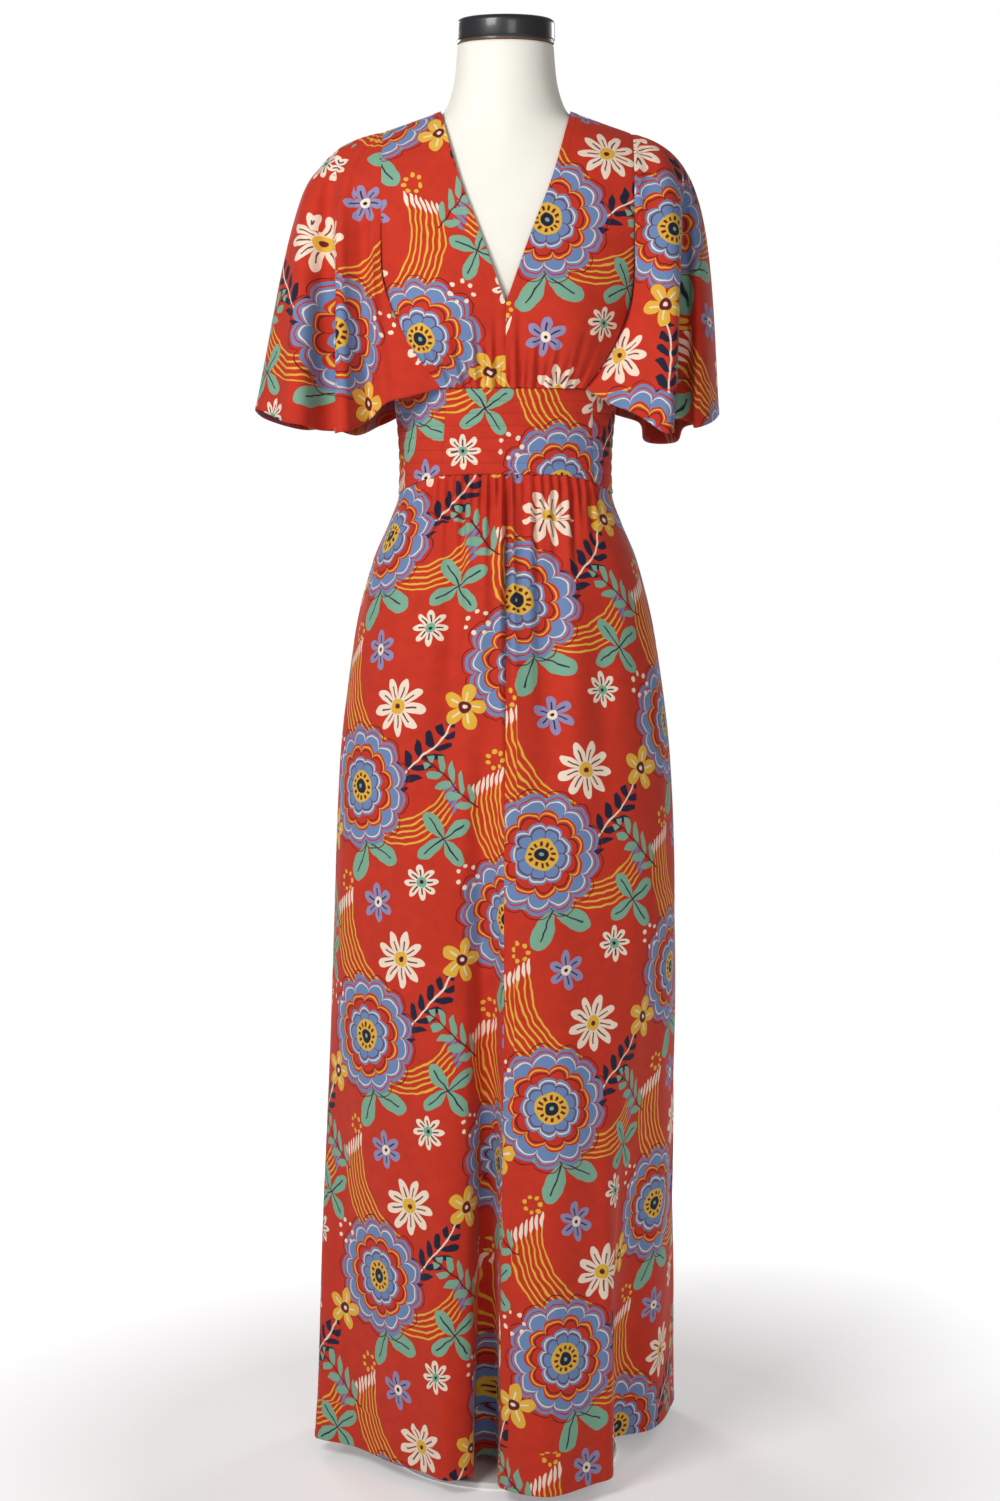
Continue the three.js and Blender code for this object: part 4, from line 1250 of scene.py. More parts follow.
LEFT_SLEEVE_CREASES = (
    Crease((-171, 1130), (-176, 1500), (6, 5), 7.0, 1.0, 0.5),
    Crease((-191, 1130), (-189, 1490), (9, 7), -17.0, 1.0, 0.5),
    Crease((-118, 1186), (-152, 1420), (11, 6), -7.0, 0.7, 0.3),
    Crease((-118, 1175), (-140, 1330), (9, 12), 1.8, 0.6, 0.4),
    Crease((-222, 1136), (-207, 1460), (13, 8), 17.0, 1.0, 0.5),
    Crease((-228, 1150), (-200, 1320), (12, 14), 2.0, 0.8, 0.4, True),
    Crease((-134, 1150), (-146, 1290), (9, 10), -1.8, 0.8, 0.4, True),
)
RIGHT_SLEEVE_CREASES = (
    Crease((142, 1430), (141, 1290), (3, 3), 0.8, 0.4, 0.2),
    Crease((122, 1165), (146, 1320), (9, 12), 1.8, 0.6, 0.4),
    Crease((150, 1150), (158, 1300), (8, 9), -3.0, 0.8, 0.4),
    Crease((172, 1136), (186, 1400), (6, 4), 4.0, 1.0, 0.5),
    Crease((122, 1176), (158, 1420), (11, 6), -6.0, 0.7, 0.3),
    Crease((190, 1136), (191, 1480), (6, 5), -9.0, 1.0, 0.5),
    Crease((214, 1145), (206, 1300), (7, 8), 1.6, 0.8, 0.4),
    Crease((208, 1145), (198, 1310), (9, 12), 2.0, 0.8, 0.4, True),
    Crease((136, 1150), (146, 1290), (9, 10), -1.8, 0.8, 0.4, True),
)


# ------------------------------------------------------------------ the form and its stand
def finished(
    shape: bmesh.types.BMesh, name: str, nodes: Sequence[str], finish: bpy.types.Material
) -> bpy.types.Object:
    """Turns a shape in metres into a piece of the form or its stand.

    Args:
        shape: the shape, which is used up.
        name: the piece's name.
        nodes: the solids that it stands for.
        finish: its material.

    Returns:
        The piece.
    """
    bmesh.ops.recalc_face_normals(shape, faces=shape.faces)
    for face in shape.faces:
        face.smooth = True
    mesh = bpy.data.meshes.new(name)
    shape.to_mesh(mesh)
    shape.free()
    mesh.materials.append(finish)
    piece = bpy.data.objects.new(name, mesh)
    bpy.context.scene.collection.objects.link(piece)
    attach(piece, ROOT)
    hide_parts(*nodes)
    LOG.info("%s has %d faces", name, len(mesh.polygons))
    return piece


def spun(profile: Sequence[Spot], segments: int) -> bmesh.types.BMesh:
    """A turned shape.

    Args:
        profile: radius and height in millimetres, starting and ending on the axis.
        segments: how many steps the turn has.

    Returns:
        The closed shape, in metres.
    """
    shape = bmesh.new()
    spots = [shape.verts.new((r * MM, 0, z * MM)) for r, z in profile]
    edges = [shape.edges.new(pair) for pair in zip(spots, spots[1:])]
    bmesh.ops.spin(
        shape,
        geom=spots + edges,
        cent=(0, 0, 0),
        axis=(0, 0, 1),
        angle=2 * math.pi,
        steps=segments,
        use_merge=True,
    )
    bmesh.ops.remove_doubles(shape, verts=shape.verts, dist=1e-6)
    return shape


def rounded(corner: Spot, start: float, radius: float, count: int = 6) -> list[Spot]:
    """A quarter round of a profile.

    Args:
        corner: the round's centre.
        start: the angle it starts at, in degrees from outwards.
        radius: its radius.
        count: how many steps it takes.

    Returns:
        Its points, over 90 degrees.
    """
    turns = [math.radians(start + 90 * k / count) for k in range(count + 1)]
    return [(corner[0] + radius * math.cos(t), corner[1] + radius * math.sin(t)) for t in turns]


@dataclass
class DressForm:
    """The smooth jersey-covered torso and its turned neck cap."""

    around: int = 128
    up: int = 190
    foot: float = 792.0
    top: float = 1546.0
    foot_round: float = 10.0
    top_round: float = 2.0
    end_share: float = 0.06
    cap_radius: float = 52.5
    cap_foot: float = 1546.5
    cap_height: float = 26.0
    cap_round: float = 6.0

    def torso(self, jersey: bpy.types.Material) -> None:
        """Makes the torso: a ball pulled out to the form's sections."""
        shape = bmesh.new()
        bmesh.ops.create_uvsphere(shape, u_segments=self.around, v_segments=self.up, radius=1.0)
        for vert in shape.verts:
            turn = math.atan2(vert.co.x, -vert.co.y)
            rise = math.acos(max(-1.0, min(1.0, -vert.co.z))) / math.pi
            t = (rise - self.end_share) / (1 - 2 * self.end_share)
            height = mix(self.foot, self.top, min(max(t, 0.0), 1.0))
            spot = FIGURE.skin(np.array(turn), np.array(height))
            closing = min(rise, 1 - rise) / self.end_share
            if closing < 1:
                bend = self.foot_round if rise < self.end_share else self.top_round
                inward = bend / 100 * (1 - math.sqrt(max(0.0, 1 - (1 - closing) ** 2)))
                spot = spot * np.array([closing**0.5 * (1 - inward)] * 2 + [1])
            else:
                low = max(0.0, 1 - (height - self.foot) / self.foot_round)
                spot = spot * np.array([1 - 0.06 * low**2] * 2 + [1])
            vert.co = Vector(spot) * MM
        finished(shape, "form_torso_jersey", ["form_torso"], jersey)

    def cap(self, lacquer: bpy.types.Material) -> None:
        """Makes the turned cap, with a rounded top edge and a small bead at its foot."""
        r, z, h = self.cap_radius, self.cap_foot, self.cap_height
        soft = self.cap_round
        profile = [
            (0, z),
            (r - 2.5, z),
            *rounded((r - 2, z + 1.2), -90, 1.2, 4),
            (r - 0.9, z + 2.2),
            (r - 1.4, z + 2.9),
            (r - 0.4, z + 3.8),
            (r, z + 5.5),
            *rounded((r - soft, z + h - soft), 0, soft, 8),
            (r - soft - 14, z + h),
            (0, z + h),
        ]
        finished(spun(profile, 96), "neck_cap_turned", ["neck_cap"], lacquer)


@dataclass
class Stand:
    """The pole and the round weighted base."""

    radius: float = 125.0
    rim: float = 5.0
    edge: float = 1.8
    collar: float = 26.0
    collar_top: float = 24.0
    pole_radius: float = 12.5
    pole_top: float = 791.6

    def build(self, coat: bpy.types.Material) -> None:
        """Makes the base and the pole."""
        r, e = self.radius, self.edge
        base = [
            (0, 0),
            (r - e, 0),
            *rounded((r - e, e), -90, e, 4)[1:],
            *rounded((r - e - 1, self.rim), 0, e, 4),
            (self.collar + 30, self.rim + 4),
            (self.collar + 6, self.rim + 7),
            (self.collar, self.rim + 12),
            *rounded((self.collar - 3, self.collar_top - 3), 0, 3, 4),
            (0, self.collar_top),
        ]
        finished(spun(base, 120), "base_plate", ["base"], coat)
        pole = [
            (0, self.collar_top + 0.2),
            (self.pole_radius, self.collar_top + 0.2),
            (self.pole_radius, self.pole_top),
            (0, self.pole_top),
        ]
        finished(spun(pole, 48), "pole_tube", ["pole"], coat)


# ------------------------------------------------------------------ finishes
class Field:
    """A number at every place of a surface, worked out by shader nodes."""

    def __init__(self, tree: bpy.types.NodeTree, socket: bpy.types.NodeSocket) -> None:
        """Holds the tree and the socket that gives the number."""
        self.tree, self.socket = tree, socket

    def do(self, operation: str, *values: "Field | float", held: bool = False) -> "Field":
        """The result of a Math node.

        Args:
            operation: the node's operation.
            values: its further inputs.
            held: whether it is kept between 0 and 1.

        Returns:
            The result.
        """
        node = self.tree.nodes.new("ShaderNodeMath")
        node.operation, node.use_clamp = operation, held
        for socket, value in zip(node.inputs, (self, *values)):
            if isinstance(value, Field):
                self.tree.links.new(value.socket, socket)
            else:
                socket.default_value = value
        return Field(self.tree, node.outputs[0])

    def __add__(self, other: "Field | float") -> "Field":
        """The sum."""
        return self.do("ADD", other)

    def __sub__(self, other: "Field | float") -> "Field":
        """The difference."""
        return self.do("SUBTRACT", other)

    def __mul__(self, other: "Field | float") -> "Field":
        """The product."""
        return self.do("MULTIPLY", other)

    def line(self, slope: float, start: float) -> "Field":
        """The number times a slope, plus a start."""
        return self.do("MULTIPLY_ADD", slope, start)

    def wave(self, turns: float, start: float = 0.0) -> "Field":
        """The sine of the number times turns, plus a start."""
        return self.line(turns, start).do("SINE")

    def near(self, pitch: float, start: float = 0.0) -> "Field":
        """Distance to the nearest whole multiple of a pitch, after a start."""
        return self.line(1.0, pitch / 2 - start).do("WRAP", pitch, 0.0).line(1.0, -pitch / 2).do("ABSOLUTE")

    def under(self, limit: "Field | float", soft: float = 0.7) -> "Field":
        """1 where the number is under a limit and 0 where it is over, with a soft edge."""
        if isinstance(limit, Field):
            return (limit - self).do("MULTIPLY_ADD", 1 / soft, 0.5, held=True)
        return self.do("MULTIPLY_ADD", -1 / soft, limit / soft + 0.5, held=True)


@dataclass
class Spread:
    """A place within a repeat of the print: across, along, distance and turn from a motif's middle."""

    x: Field
    y: Field
    r: Field
    turn: Field


class Canvas:
    """The colour of a print, painted layer over layer."""

    def __init__(self, tree: bpy.types.NodeTree, ground: bpy.types.NodeSocket) -> None:
        """Starts with the ground's colour."""
        self.tree, self.colour = tree, ground

    def paint(self, mask: Field, colour: Colour) -> None:
        """Lays a colour where the mask is 1."""
        node = self.tree.nodes.new("ShaderNodeMix")
        node.data_type = "RGBA"
        self.tree.links.new(mask.socket, node.inputs["Factor"])
        self.tree.links.new(self.colour, node.inputs[6])
        node.inputs[7].default_value = (*linear(colour), 1.0)
        self.colour = node.outputs[2]


def linear(colour: Colour) -> Colour:
    """A colour given in sRGB from 0 to 255 as linear light."""
    shares = [c / 255 for c in colour]
    return tuple(c / 12.92 if c <= 0.04045 else ((c + 0.055) / 1.055) ** 2.4 for c in shares)


class Ink(Enum):
    """The print's colours, in sRGB."""

    GROUND = (199, 51, 30)
    SLATE = (108, 136, 180)
    LILAC = (146, 138, 176)
    MUSTARD = (228, 178, 62)
    SAGE = (126, 172, 146)
    CREAM = (244, 222, 200)
    NAVY = (32, 31, 56)
    MAROON = (104, 24, 36)


@dataclass
class FloralPrint:
    """A large half-drop floral: dahlias, daisies, five-petal flowers, leaf sprigs and buds on red."""

    width: float = 186.0
    height: float = 268.0
    group: bpy.types.NodeTree | None = None

    def node(self, kind: str, **settings: object) -> bpy.types.Node:
        """A new node of the print's group, with its settings."""
        made = self.group.nodes.new(kind)
        for name, value in settings.items():
            setattr(made, name, value)
        return made

    def join(self, out: bpy.types.NodeSocket, into: bpy.types.NodeSocket) -> None:
        """Links two sockets."""
        self.group.links.new(out, into)

    def place(self) -> bpy.types.NodeSocket:
        """The place on the cut cloth in millimetres, wavering a little as hand-drawn lines do."""
        cut = self.node("ShaderNodeUVMap", uv_map="cut")
        scaled = self.node("ShaderNodeVectorMath", operation="SCALE")
        scaled.inputs["Scale"].default_value = 1000.0
        self.join(cut.outputs[0], scaled.inputs[0])
        noise = self.node("ShaderNodeTexNoise", noise_dimensions="2D")
        noise.inputs["Scale"].default_value = 55.0
        noise.inputs["Detail"].default_value = 1.0
        self.join(cut.outputs[0], noise.inputs["Vector"])
        waver = self.node("ShaderNodeVectorMath", operation="MULTIPLY_ADD")
        self.join(noise.outputs["Color"], waver.inputs[0])
        waver.inputs[1].default_value = (5.0, 5.0, 0.0)
        self.join(scaled.outputs[0], waver.inputs[2])
        return waver.outputs[0]

    def spread(self, place: bpy.types.NodeSocket, x: float, y: float, turn: float, thin: int = 1) -> Spread:
        """The places round a motif's middle, repeated in a half drop.

        Args:
            place: the place on the cloth.
            x: the motif's middle in the repeat.
            y: the same, along the cloth.
            turn: how far it is turned, in degrees.
            thin: into how many the repeat's height is divided.

        Returns:
            The places.
        """
        apart = self.node("ShaderNodeSeparateXYZ")
        self.join(place, apart.inputs[0])
        across, along = Field(self.group, apart.outputs[0]), Field(self.group, apart.outputs[1])
        shifted = across.line(1.0, self.width / 2 - x)
        column = shifted.line(1 / self.width, 0).do("FLOOR")
        local_x = shifted.do("WRAP", self.width, 0.0).line(1.0, -self.width / 2)
        tall = self.height / thin
        dropped = column.do("MULTIPLY_ADD", self.height / 2, along)
        local_y = dropped.line(1.0, tall / 2 - y).do("WRAP", tall, 0.0).line(1.0, -tall / 2)
        if turn:
            c, s = math.cos(math.radians(turn)), math.sin(math.radians(turn))
            turned_x = local_x.do("MULTIPLY_ADD", c, local_y.line(s, 0))
            local_y = local_x.do("MULTIPLY_ADD", -s, local_y.line(c, 0))
            local_x = turned_x
        distance = (local_x * local_x + local_y * local_y).do("SQRT")
        return Spread(local_x, local_y, distance, local_y.do("ARCTAN2", local_x))

    def petals(self, at: Spread, count: int, radius: float, depth: float, start: float = 0.0) -> Field:
        """The outline of a ring of rounded petals: its distance from the middle at every turn."""
        return at.turn.wave(count / 2, start).do("ABSOLUTE").do("POWER", 0.45).line(depth, radius - depth)

    def line(self, at: Spread, outline: Field, inset: float, width: float) -> Field:
        """A line that follows an outline at an inset."""
        return (outline - at.r).line(1.0, -inset).do("ABSOLUTE").under(width)

    def dahlia(self, canvas: Canvas, at: Spread) -> None:
        """A large bloom: rings of petals, each with lines inside its edge, round a mustard eye."""
        for radius, depth, count, start, ink, lines in (
            (
                65.0,
                10.0,
                13,
                0.0,
                Ink.SLATE,
                ((-4.0, 0.6, Ink.MAROON), (4.6, 0.9, Ink.GROUND), (8.6, 0.7, Ink.CREAM)),
            ),
            (47.0, 8.0, 11, 0.6, Ink.GROUND, ((3.4, 0.8, Ink.MUSTARD), (7.0, 0.7, Ink.MAROON))),
            (33.0, 6.0, 9, 0.2, Ink.SLATE, ((3.2, 0.7, Ink.CREAM), (6.4, 0.6, Ink.MAROON))),
        ):
            outline = self.petals(at, count, radius, depth, start)
            canvas.paint(at.r.under(outline), ink.value)
            vein = (at.turn.wave(count / 2, start).do("ABSOLUTE") * at.r).under(1.6)
            canvas.paint(vein * at.r.under(outline.line(0.97, 0)), Ink.MAROON.value)
            for inset, width, line_ink in lines:
                canvas.paint(self.line(at, outline, inset, width), line_ink.value)
        canvas.paint(at.r.under(17.0), Ink.MUSTARD.value)
        seeds = at.turn.near(math.pi / 6) * at.r
        canvas.paint(seeds.under(1.5) * at.r.line(1.0, -12.0).do("ABSOLUTE").under(2.2), Ink.MAROON.value)
        canvas.paint(at.r.under(7.5), Ink.NAVY.value)
        canvas.paint(at.r.under(2.2), Ink.SAGE.value)

    def daisy(
        self, canvas: Canvas, at: Spread, radius: float, count: int, inks: tuple[Ink, Ink, Ink]
    ) -> None:
        """A small open flower: petals, the lines between them and an eye."""
        outline = at.turn.wave(count / 2).do("ABSOLUTE").do("POWER", 0.7).line(radius * 0.72, radius * 0.28)
        canvas.paint(at.r.under(outline), inks[0].value)
        vein = (at.turn.near(2 * math.pi / count, math.pi / count) * at.r).under(0.8)
        ray = vein * at.r.under(radius * 0.7) * at.r.do("SUBTRACT", radius * 0.3).under(-1e-3).line(-1.0, 1.0)
        canvas.paint(ray, inks[2].value)
        canvas.paint(at.r.under(radius * 0.27), inks[1].value)
        canvas.paint(at.r.under(radius * 0.1), inks[2].value)

    def sprig(self, canvas: Canvas, at: Spread, length: float, ink: Ink, stem: Ink) -> None:
        """A stem with pairs of slanting leaves."""
        side = (at.x - at.y.wave(0.045) * 6.0).do("ABSOLUTE")
        along = at.y.do("ABSOLUTE").under(length / 2)
        reach = (at.y * at.y).line(-18.0 / (length * length / 4), 19.0)
        leaf = (at.y - side * 0.75).near(15.0)
        belly = side.do("MULTIPLY", 1.0).wave(math.pi / 19.0, 0.25).line(5.2, 0.0)
        canvas.paint(leaf.under(belly) * side.under(reach) * along, ink.value)
        canvas.paint(side.under(0.9) * along, stem.value)

    def stems(
        self,
        canvas: Canvas,
        at: Spread,
        stalks: int,
        length: float,
        curve: float,
        inks: tuple[Ink, Ink],
    ) -> None:
        """A sheaf of curved stems with buds at their tips.

        Args:
            canvas: what it is painted on.
            at: the places round its middle.
            stalks: how many stems there are, an odd number.
            length: half their length.
            curve: how much they bend.
            inks: the stems' colour and the buds'.
        """
        pitch, bend = 6.4, at.x - (at.y * at.y) * curve
        half = pitch * stalks / 2
        inside = bend.do("ABSOLUTE").under(half)
        thread = bend.near(pitch)
        canvas.paint(thread.under(1.0) * inside * at.y.do("ABSOLUTE").under(length), inks[0].value)
        tip = at.y.line(1.0, -length - 2)
        bud = (thread * thread).line(0.2, 0) + (tip * tip).line(0.02, 0)
        canvas.paint(bud.under(1.0, 0.2) * inside, inks[1].value)

    def leaves(self, canvas: Canvas, at: Spread, radius: float) -> None:
        """A spray of four pointed leaves, each with a midrib."""
        outline = at.turn.wave(2.0).do("ABSOLUTE").do("POWER", 1.4).line(radius, 0.0)
        canvas.paint(at.r.under(outline), Ink.SAGE.value)
        rib = (at.turn.near(math.pi / 2, math.pi / 4) * at.r).under(0.8) * at.r.under(radius * 0.8)
        canvas.paint(rib, Ink.NAVY.value)

    def dots(self, canvas: Canvas, at: Spread, radius: float, ink: Ink) -> None:
        """A ring of seven dots."""
        spot = (at.turn.near(2 * math.pi / 7) * at.r).do("POWER", 2.0)
        off = at.r.line(1.0, -radius).do("POWER", 2.0)
        canvas.paint((spot + off).under(6.0, 2.0), ink.value)

    def make(self) -> bpy.types.NodeTree:
        """Builds the print as a node group that gives its colour."""
        self.group = bpy.data.node_groups.new("floral print", "ShaderNodeTree")
        self.group.interface.new_socket("Colour", in_out="OUTPUT", socket_type="NodeSocketColor")
        place = self.place()
        ground = self.node("ShaderNodeMix", data_type="RGBA")
        mottle = self.node("ShaderNodeTexNoise", noise_dimensions="2D")
        mottle.inputs["Scale"].default_value = 0.06
        mottle.inputs["Detail"].default_value = 3.0
        self.join(place, mottle.inputs["Vector"])
        self.join(mottle.outputs["Fac"], ground.inputs["Factor"])
        ground.inputs[6].default_value = (*(c * 0.86 for c in linear(Ink.GROUND.value)), 1.0)
        ground.inputs[7].default_value = (*(min(c * 1.12, 1) for c in linear(Ink.GROUND.value)), 1.0)
        canvas = Canvas(self.group, ground.outputs[2])
        w, h = self.width, self.height
        self.stems(canvas, self.spread(place, 0.38 * w, 0.60 * h, 30), 7, 56, 0.006, (Ink.MUSTARD, Ink.CREAM))
        fallen = self.spread(place, 0.9 * w, 0.14 * h, -70)
        self.stems(canvas, fallen, 5, 46, -0.008, (Ink.MUSTARD, Ink.SLATE))
        self.sprig(canvas, self.spread(place, 0.93 * w, 0.42 * h, -32), 108, Ink.NAVY, Ink.CREAM)
        self.sprig(canvas, self.spread(place, 0.1 * w, 0.82 * h, 58), 80, Ink.SAGE, Ink.MAROON)
        self.leaves(canvas, self.spread(place, 0.55 * w, 0.08 * h, 20), 46)
        self.leaves(canvas, self.spread(place, 0.06 * w, 0.60 * h, -10), 34)
        self.dahlia(canvas, self.spread(place, 0.5 * w, 0.30 * h, 0))
        cream = (Ink.CREAM, Ink.MUSTARD, Ink.MAROON)
        self.daisy(canvas, self.spread(place, 0.78 * w, 0.62 * h, 12), 31, 9, cream)
        small = self.spread(place, 0.16 * w, 0.12 * h, 40)
        self.daisy(canvas, small, 24, 5, (Ink.MUSTARD, Ink.MAROON, Ink.CREAM))
        self.daisy(canvas, self.spread(place, 0.62 * w, 0.84 * h, 5), 21, 6, (Ink.LILAC, Ink.CREAM, Ink.NAVY))
        self.daisy(canvas, self.spread(place, 0.93 * w, 0.93 * h, 25), 19, 8, (Ink.CREAM, Ink.SAGE, Ink.NAVY))
        self.dots(canvas, self.spread(place, 0.2 * w, 0.45 * h, 0), 12, Ink.CREAM)
        self.dots(canvas, self.spread(place, 0.36 * w, 0.92 * h, 0), 9, Ink.MUSTARD)
        out = self.node("NodeGroupOutput")
        self.join(canvas.colour, out.inputs[0])
        LOG.info("the print has %d nodes", len(self.group.nodes))
        return self.group


@dataclass(frozen=True)
class Crepe:
    """The dress's cloth: a fine dull crepe, printed on one side."""

    name: str
    # How far the wrong side's plain ground is darkened as painted shade; 1 leaves it undarkened.
    painted_shade_level: float = 1.0
    showing: float = 1.0
    stitched: bool = False
    roughness: float = 0.82
    sheen: float = 0.06
    grain: float = 1900.0
    grain_depth: float = 0.00012
    stitch_pitch: float = 0.013
    stitch_top: float = BAND_TOP * MM

    def material(self, group: bpy.types.NodeTree) -> bpy.types.Material:
        """The cloth's material, from the print's group."""
        made = bpy.data.materials.new(self.name)
        made.use_nodes = True
        tree = made.node_tree
        shader = tree.nodes["Principled BSDF"]
        shader.inputs["Roughness"].default_value = self.roughness
        shader.inputs["Specular IOR Level"].default_value = 0.22
        shader.inputs["Sheen Weight"].default_value = self.sheen
        shader.inputs["Sheen Roughness"].default_value = 0.55
        shader.inputs["Sheen Tint"].default_value = (1.0, 0.86, 0.8, 1.0)
        printed = tree.nodes.new("ShaderNodeGroup")
        printed.node_tree = group
        colour = printed.outputs[0]
        # The wrong side: the print shows through faintly over the plain ground, which is darkened as painted
        # shade.
        if self.showing < 1:
            faint = tree.nodes.new("ShaderNodeMix")
            faint.data_type = "RGBA"
            faint.inputs["Factor"].default_value = self.showing
            plain = linear(Ink.GROUND.value)
            faint.inputs[6].default_value = (*(c * self.painted_shade_level for c in plain), 1.0)
            tree.links.new(colour, faint.inputs[7])
            colour = faint.outputs[2]
        if self.stitched:
            colour = self.stitches(tree, colour)
        tree.links.new(colour, shader.inputs["Base Color"])
        cut = tree.nodes.new("ShaderNodeUVMap")
        cut.uv_map = "cut"
        grain = tree.nodes.new("ShaderNodeTexNoise")
        grain.noise_dimensions = "2D"
        grain.inputs["Scale"].default_value = self.grain
        grain.inputs["Detail"].default_value = 2.0
        tree.links.new(cut.outputs[0], grain.inputs["Vector"])
        bump = tree.nodes.new("ShaderNodeBump")
        bump.inputs["Strength"].default_value = 0.6
        bump.inputs["Distance"].default_value = self.grain_depth
        tree.links.new(grain.outputs["Fac"], bump.inputs["Height"])
        tree.links.new(bump.outputs[0], shader.inputs["Normal"])
        return made

    def stitches(self, tree: bpy.types.NodeTree, colour: bpy.types.NodeSocket) -> bpy.types.NodeSocket:
        """Rows of short dark-red stitches round the band."""
        spot = tree.nodes.new("ShaderNodeTexCoord")
        apart = tree.nodes.new("ShaderNodeSeparateXYZ")
        tree.links.new(spot.outputs["Object"], apart.inputs[0])
        x, y, z = (Field(tree, apart.outputs[k]) for k in range(3))
        row = z.near(self.stitch_pitch, self.stitch_top % self.stitch_pitch).under(0.00035, 0.0004)
        dash = (x - y).near(0.0042).under(0.0014, 0.0003)
        canvas = Canvas(tree, colour)
        canvas.paint(row * dash * 0.5, Ink.MAROON.value)
        return canvas.colour


@dataclass(frozen=True)
class Coat:
    """A plain finish: one colour, how dull it is and how much it shines under a clear coat; a band at its
    foot may be painted in as a highlight.
    """

    name: str
    colour: Colour
    roughness: float
    clear: float = 0.0
    specular: float = 0.5
    grain: float = 0.0
    grain_depth: float = 0.0001
    rim: Colour | None = None
    highlight_top: float = 0.0
    tint: float = 0.03

    def material(self) -> bpy.types.Material:
        """The finish as a material."""
        made = bpy.data.materials.new(self.name)
        made.use_nodes = True
        tree = made.node_tree
        shader = tree.nodes["Principled BSDF"]
        shader.inputs["Roughness"].default_value = self.roughness
        shader.inputs["Specular IOR Level"].default_value = self.specular
        shader.inputs["Coat Weight"].default_value = self.clear
        shader.inputs["Coat Roughness"].default_value = 0.12
        spot = tree.nodes.new("ShaderNodeTexCoord")
        cloud = tree.nodes.new("ShaderNodeTexNoise")
        cloud.inputs["Scale"].default_value = 26.0
        tree.links.new(spot.outputs["Object"], cloud.inputs["Vector"])
        ground = tree.nodes.new("ShaderNodeMix")
        ground.data_type = "RGBA"
        tree.links.new(cloud.outputs["Fac"], ground.inputs["Factor"])
        base = linear(self.colour)
        ground.inputs[6].default_value = (*(c * (1 - self.tint) for c in base), 1.0)
        ground.inputs[7].default_value = (*(min(c * (1 + self.tint), 1) for c in base), 1.0)
        canvas = Canvas(tree, ground.outputs[2])
        # Painted highlight: a band below the given height gets the rim colour, standing in for light caught
        # along the edge.
        if self.rim:
            apart = tree.nodes.new("ShaderNodeSeparateXYZ")
            tree.links.new(spot.outputs["Object"], apart.inputs[0])
            canvas.paint(Field(tree, apart.outputs[2]).under(self.highlight_top, 0.0003), self.rim)
        tree.links.new(canvas.colour, shader.inputs["Base Color"])
        if self.grain:
            fine = tree.nodes.new("ShaderNodeTexNoise")
            fine.inputs["Scale"].default_value = self.grain
            tree.links.new(spot.outputs["Object"], fine.inputs["Vector"])
            bump = tree.nodes.new("ShaderNodeBump")
            bump.inputs["Strength"].default_value = 0.5
            bump.inputs["Distance"].default_value = self.grain_depth
            tree.links.new(fine.outputs["Fac"], bump.inputs["Height"])
            tree.links.new(bump.outputs[0], shader.inputs["Normal"])
        return made


JERSEY = Coat("cream jersey", (250, 247, 236), 0.9, specular=0.2, grain=1500.0)
# The cap's foot is painted with a brown band as a highlight along its edge.
LACQUER = Coat(
    "black lacquered wood",
    (40, 39, 42),
    0.38,
    clear=0.35,
    rim=(96, 70, 54),
    highlight_top=1.5492,
    tint=0.1,
)
POWDER_COAT = Coat("white coated steel", (240, 239, 236), 0.42, grain=900.0, grain_depth=0.00004)


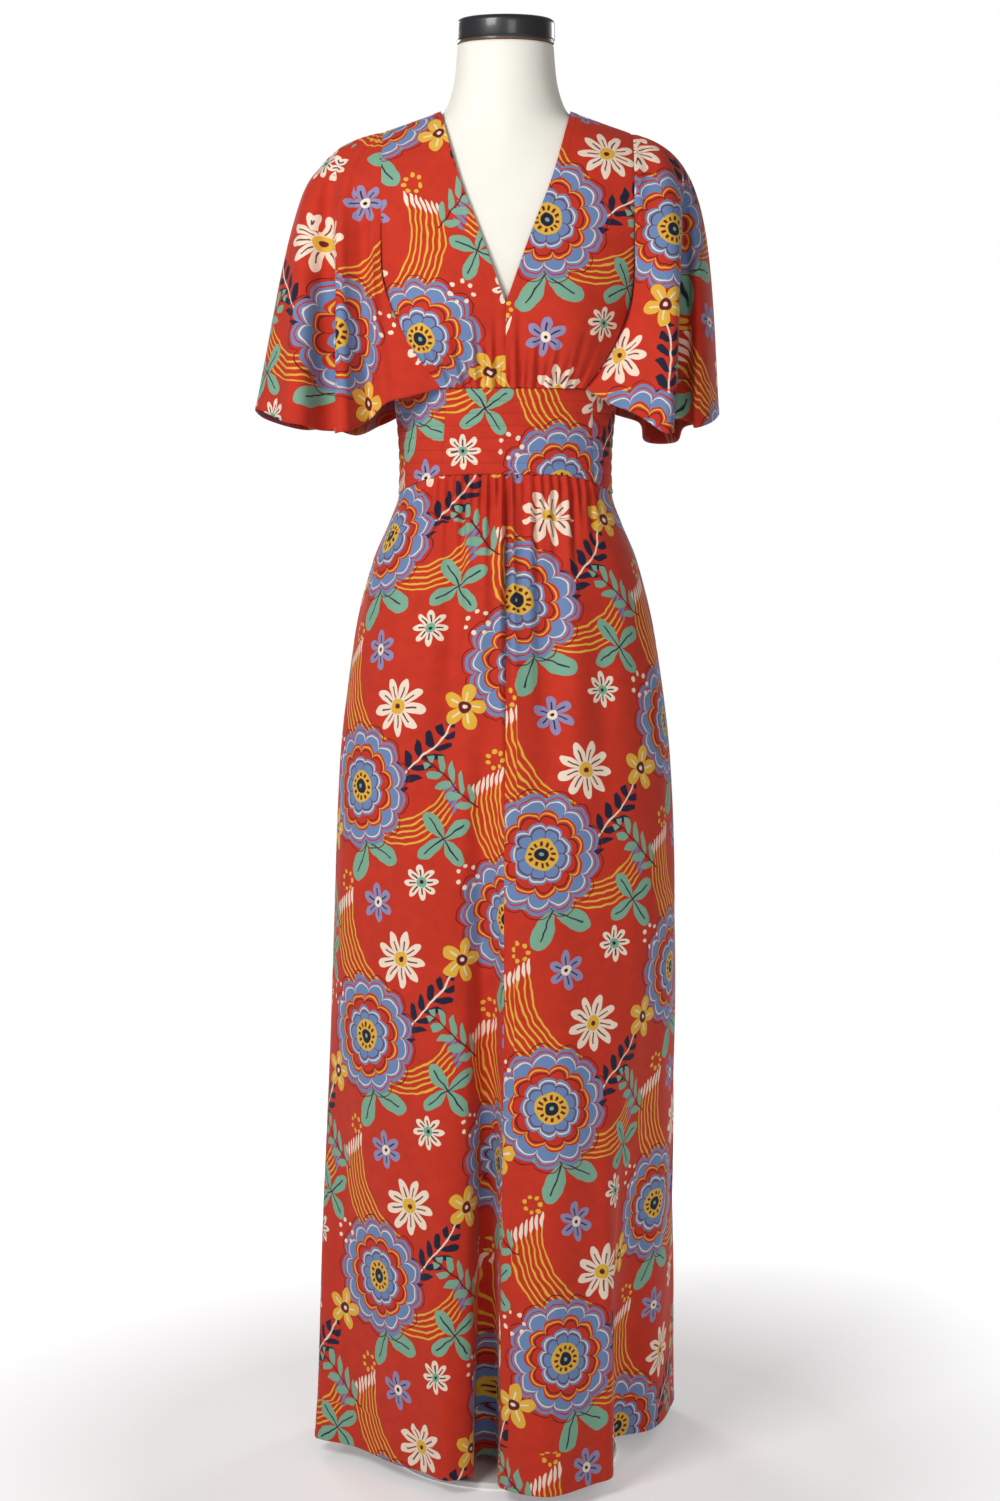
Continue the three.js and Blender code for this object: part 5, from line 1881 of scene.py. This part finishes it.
# ------------------------------------------------------------------ the studio
@dataclass
class Studio:
    """A bright room with a pale floor, soft lights and the camera."""

    eye: Vector = Vector((-0.006, -3.225, 1.149))
    tilt: float = 6.35
    lens: float = 71.2
    sensor: float = 36.0
    world: float = 0.17
    light_size: float = 0.9
    light_spread: float = 100.0
    floor_size: float = 3.2
    floor_colour: Colour = (236, 236, 236)
    floor_glow: Spot = (0.3, 1.0)
    glow_reach: Spot = (0.4, 1.2)

    def camera(self) -> None:
        """Makes the camera and looks through it."""
        data = bpy.data.cameras.new("camera")
        data.lens, data.sensor_width, data.sensor_fit = self.lens, self.sensor, "AUTO"
        camera = bpy.data.objects.new("camera", data)
        camera.location = self.eye
        camera.rotation_euler = (math.radians(90 - self.tilt), 0.0, 0.0)
        bpy.context.scene.collection.objects.link(camera)
        bpy.context.scene.camera = camera

    def floor(self) -> None:
        """Makes the pale floor, which glows as painted light: dim near the middle and brighter further out
        until it shows white.
        """
        shape = bmesh.new()
        bmesh.ops.create_grid(shape, x_segments=1, y_segments=1, size=self.floor_size / 2)
        mesh = bpy.data.meshes.new("floor")
        shape.to_mesh(mesh)
        shape.free()
        paper = Coat("white paper floor", self.floor_colour, 0.95, specular=0.1, tint=0.0).material()
        tree = paper.node_tree
        spot = tree.nodes.new("ShaderNodeTexCoord")
        away = tree.nodes.new("ShaderNodeVectorMath")
        away.operation = "LENGTH"
        # Painted light: the floor glows more the further it is from the middle, though it is no lamp.
        glow = tree.nodes.new("ShaderNodeMapRange")
        limits = ("From Min", "From Max", "To Min", "To Max")
        for name, value in zip(limits, self.glow_reach + self.floor_glow):
            glow.inputs[name].default_value = value
        tree.links.new(spot.outputs["Object"], away.inputs[0])
        tree.links.new(away.outputs["Value"], glow.inputs["Value"])
        shader = tree.nodes["Principled BSDF"]
        shader.inputs["Emission Color"].default_value = (1.0, 1.0, 1.0, 1.0)
        tree.links.new(glow.outputs[0], shader.inputs["Emission Strength"])
        mesh.materials.append(paper)
        floor = bpy.data.objects.new("floor", mesh)
        floor.location.z = -0.0005
        bpy.context.scene.collection.objects.link(floor)

    def light(self, name: str, azimuth: float, distance: float, height: float, power: float) -> None:
        """Adds a square area light that faces the dress from an azimuth, in degrees from the front."""
        data = bpy.data.lights.new(name, "AREA")
        data.energy, data.size, data.shape = power, self.light_size, "SQUARE"
        data.spread = math.radians(self.light_spread)
        lamp = bpy.data.objects.new(name, data)
        turn = math.radians(azimuth)
        lamp.location = (distance * math.sin(turn), -distance * math.cos(turn), height)
        aim = Vector((0, 0, 1.2)) - lamp.location
        lamp.rotation_euler = aim.to_track_quat("-Z", "Y").to_euler()
        bpy.context.scene.collection.objects.link(lamp)

    def room(self) -> None:
        """Sets a white room that lights the dress less than it shows."""
        world = bpy.data.worlds.new("room")
        world.use_nodes = True
        tree = world.node_tree
        glow = tree.nodes["Background"]
        glow.inputs["Color"].default_value = (1.0, 1.0, 1.0, 1.0)
        seen = tree.nodes.new("ShaderNodeLightPath")
        level = tree.nodes.new("ShaderNodeMix")
        level.inputs["A"].default_value = self.world
        level.inputs["B"].default_value = 1.0
        tree.links.new(seen.outputs["Is Camera Ray"], level.inputs["Factor"])
        tree.links.new(level.outputs["Result"], glow.inputs["Strength"])
        bpy.context.scene.world = world

    def build(self) -> None:
        """Sets the room, its lights and the view."""
        bpy.context.scene.view_settings.view_transform = "Standard"
        self.room()
        self.floor()
        self.camera()
        self.light("key", -34, 2.2, 2.2, 13.0)
        self.light("fill", 14, 2.9, 1.7, 3.6)
        self.light("back left", -155, 2.9, 1.9, 8.0)
        self.light("back right", 145, 3.2, 1.8, 6.0)


def main() -> None:
    """Builds the dress, the form, its stand and the studio."""
    logging.basicConfig(level=logging.INFO, format="%(name)s: %(message)s")
    printed = FloralPrint().make()
    cloth = Crepe("printed crepe").material(printed)
    banded = Crepe("stitched crepe", stitched=True).material(printed)
    # The wrong side's ground is darkened as painted shade, with the print showing through faintly.
    inside = Crepe("crepe, wrong side in painted shade", painted_shade_level=0.55, showing=0.18).material(printed)
    Studio().build()
    DressForm().torso(JERSEY.material())
    DressForm().cap(LACQUER.material())
    Stand().build(POWDER_COAT.material())
    Skirt().build(cloth, inside)
    Midriff().build(banded, inside)
    Bodice().build(cloth, inside)
    Sleeves().build(cloth, inside)


if __name__ == "__main__":
    main()
